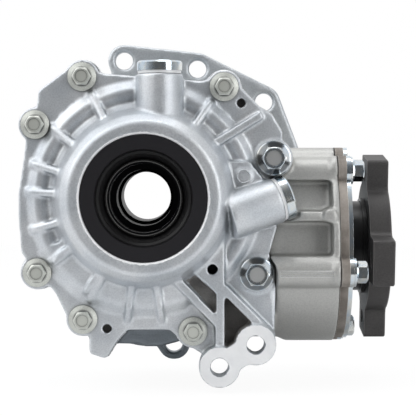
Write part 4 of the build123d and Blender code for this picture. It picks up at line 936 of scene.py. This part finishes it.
def sees_white(tree, way):
    """1 for camera rays, and for mirrored or passing rays that go to the back"""
    path = add_node(tree, "ShaderNodeLightPath").outputs
    to_back = add_node(tree, "ShaderNodeMapRange", Value=way.outputs["Y"], From_Min=0.25, From_Max=0.6)
    mirrored = add_node(tree, "ShaderNodeMath", {"operation": "MAXIMUM"}, i0=path["Is Glossy Ray"],
                        i1=path["Is Transmission Ray"]).outputs[0]
    mirrored = add_node(tree, "ShaderNodeMath", {"operation": "MULTIPLY"}, i0=mirrored,
                        i1=to_back.outputs["Result"]).outputs[0]
    return add_node(tree, "ShaderNodeMath", {"operation": "MAXIMUM"}, i0=path["Is Camera Ray"],
                    i1=mirrored).outputs[0]


def studio_room():
    world = bpy.data.worlds.new("studio_room")
    bpy.context.scene.world = world
    world.use_nodes = True
    tree = world.node_tree
    tree.nodes.clear()
    direction = add_node(tree, "ShaderNodeTexCoord").outputs["Generated"]
    way = add_node(tree, "ShaderNodeSeparateXYZ", Vector=direction)
    strength = room_light(tree, way)
    dim = add_node(tree, "ShaderNodeBackground", Color=COOL_WHITE, Strength=strength).outputs[0]
    white = add_node(tree, "ShaderNodeBackground", Color=WHITE, Strength=1.0).outputs[0]
    mixed = add_node(tree, "ShaderNodeMixShader", i0=sees_white(tree, way), i1=dim, i2=white).outputs[0]
    add_node(tree, "ShaderNodeOutputWorld", Surface=mixed)
    print("room light from", DIM_WALL, "to", BRIGHT_WALL)


studio_room()

# %% [markdown]
# Three area lamps do the rest: a broad key from the upper left, a fill from the right, and a strip
# overhead that draws the bright line on plugs and bolt flanges.

# %% Lamps
LAMP_AIM = (0.03, -0.08, 0.0)


def soft_lamp(name, at, width, height, watts):
    data = bpy.data.lights.new(name, "AREA")
    data.shape, data.size, data.size_y, data.energy = "RECTANGLE", width, height, watts
    lamp = bpy.data.objects.new(name, data)
    bpy.context.scene.collection.objects.link(lamp)
    lamp.location = at
    lamp.rotation_euler = (Vector(LAMP_AIM) - Vector(at)).to_track_quat("-Z", "Y").to_euler()
    lamp.visible_camera = False


soft_lamp("key_upper_left", (-1.0, -0.7, 0.9), 1.7, 1.3, 11)
soft_lamp("fill_right", (1.0, -1.0, 0.3), 0.6, 1.0, 6)
soft_lamp("top_strip", (0.1, -0.15, 1.3), 1.2, 0.4, 4)

# %% [markdown]
# The camera stands 1.25 m from the gearbox face, level with the upper half of the cover, with a
# long lens. It looks slightly right and down, which puts the hub where the photograph has it. The
# angle comes from two pixels: the middle of the frame, and the one where the line straight back
# from the camera has to land.

# %% Camera
FRAME_PX = 416
LENS_PX = 1571
MIDDLE_PX = FRAME_PX / 2
LEVEL_PX = (190, 165)
SENSOR_MM = 36.0
EYE = (0.0327, -1.25, 0.0235)


def studio_camera():
    data = bpy.data.cameras.new("studio_camera")
    data.sensor_width, data.lens = SENSOR_MM, SENSOR_MM * LENS_PX / FRAME_PX
    camera = bpy.data.objects.new("studio_camera", data)
    bpy.context.scene.collection.objects.link(camera)
    camera.location = EYE
    right, down = (MIDDLE_PX - LEVEL_PX[0]) / LENS_PX, (MIDDLE_PX - LEVEL_PX[1]) / LENS_PX
    camera.rotation_euler = Vector((right, 1.0, -down)).to_track_quat("-Z", "Y").to_euler()
    bpy.context.scene.camera = camera
    print("lens", round(data.lens, 1), "mm")


studio_camera()
bpy.context.scene.view_settings.view_transform = "Standard"
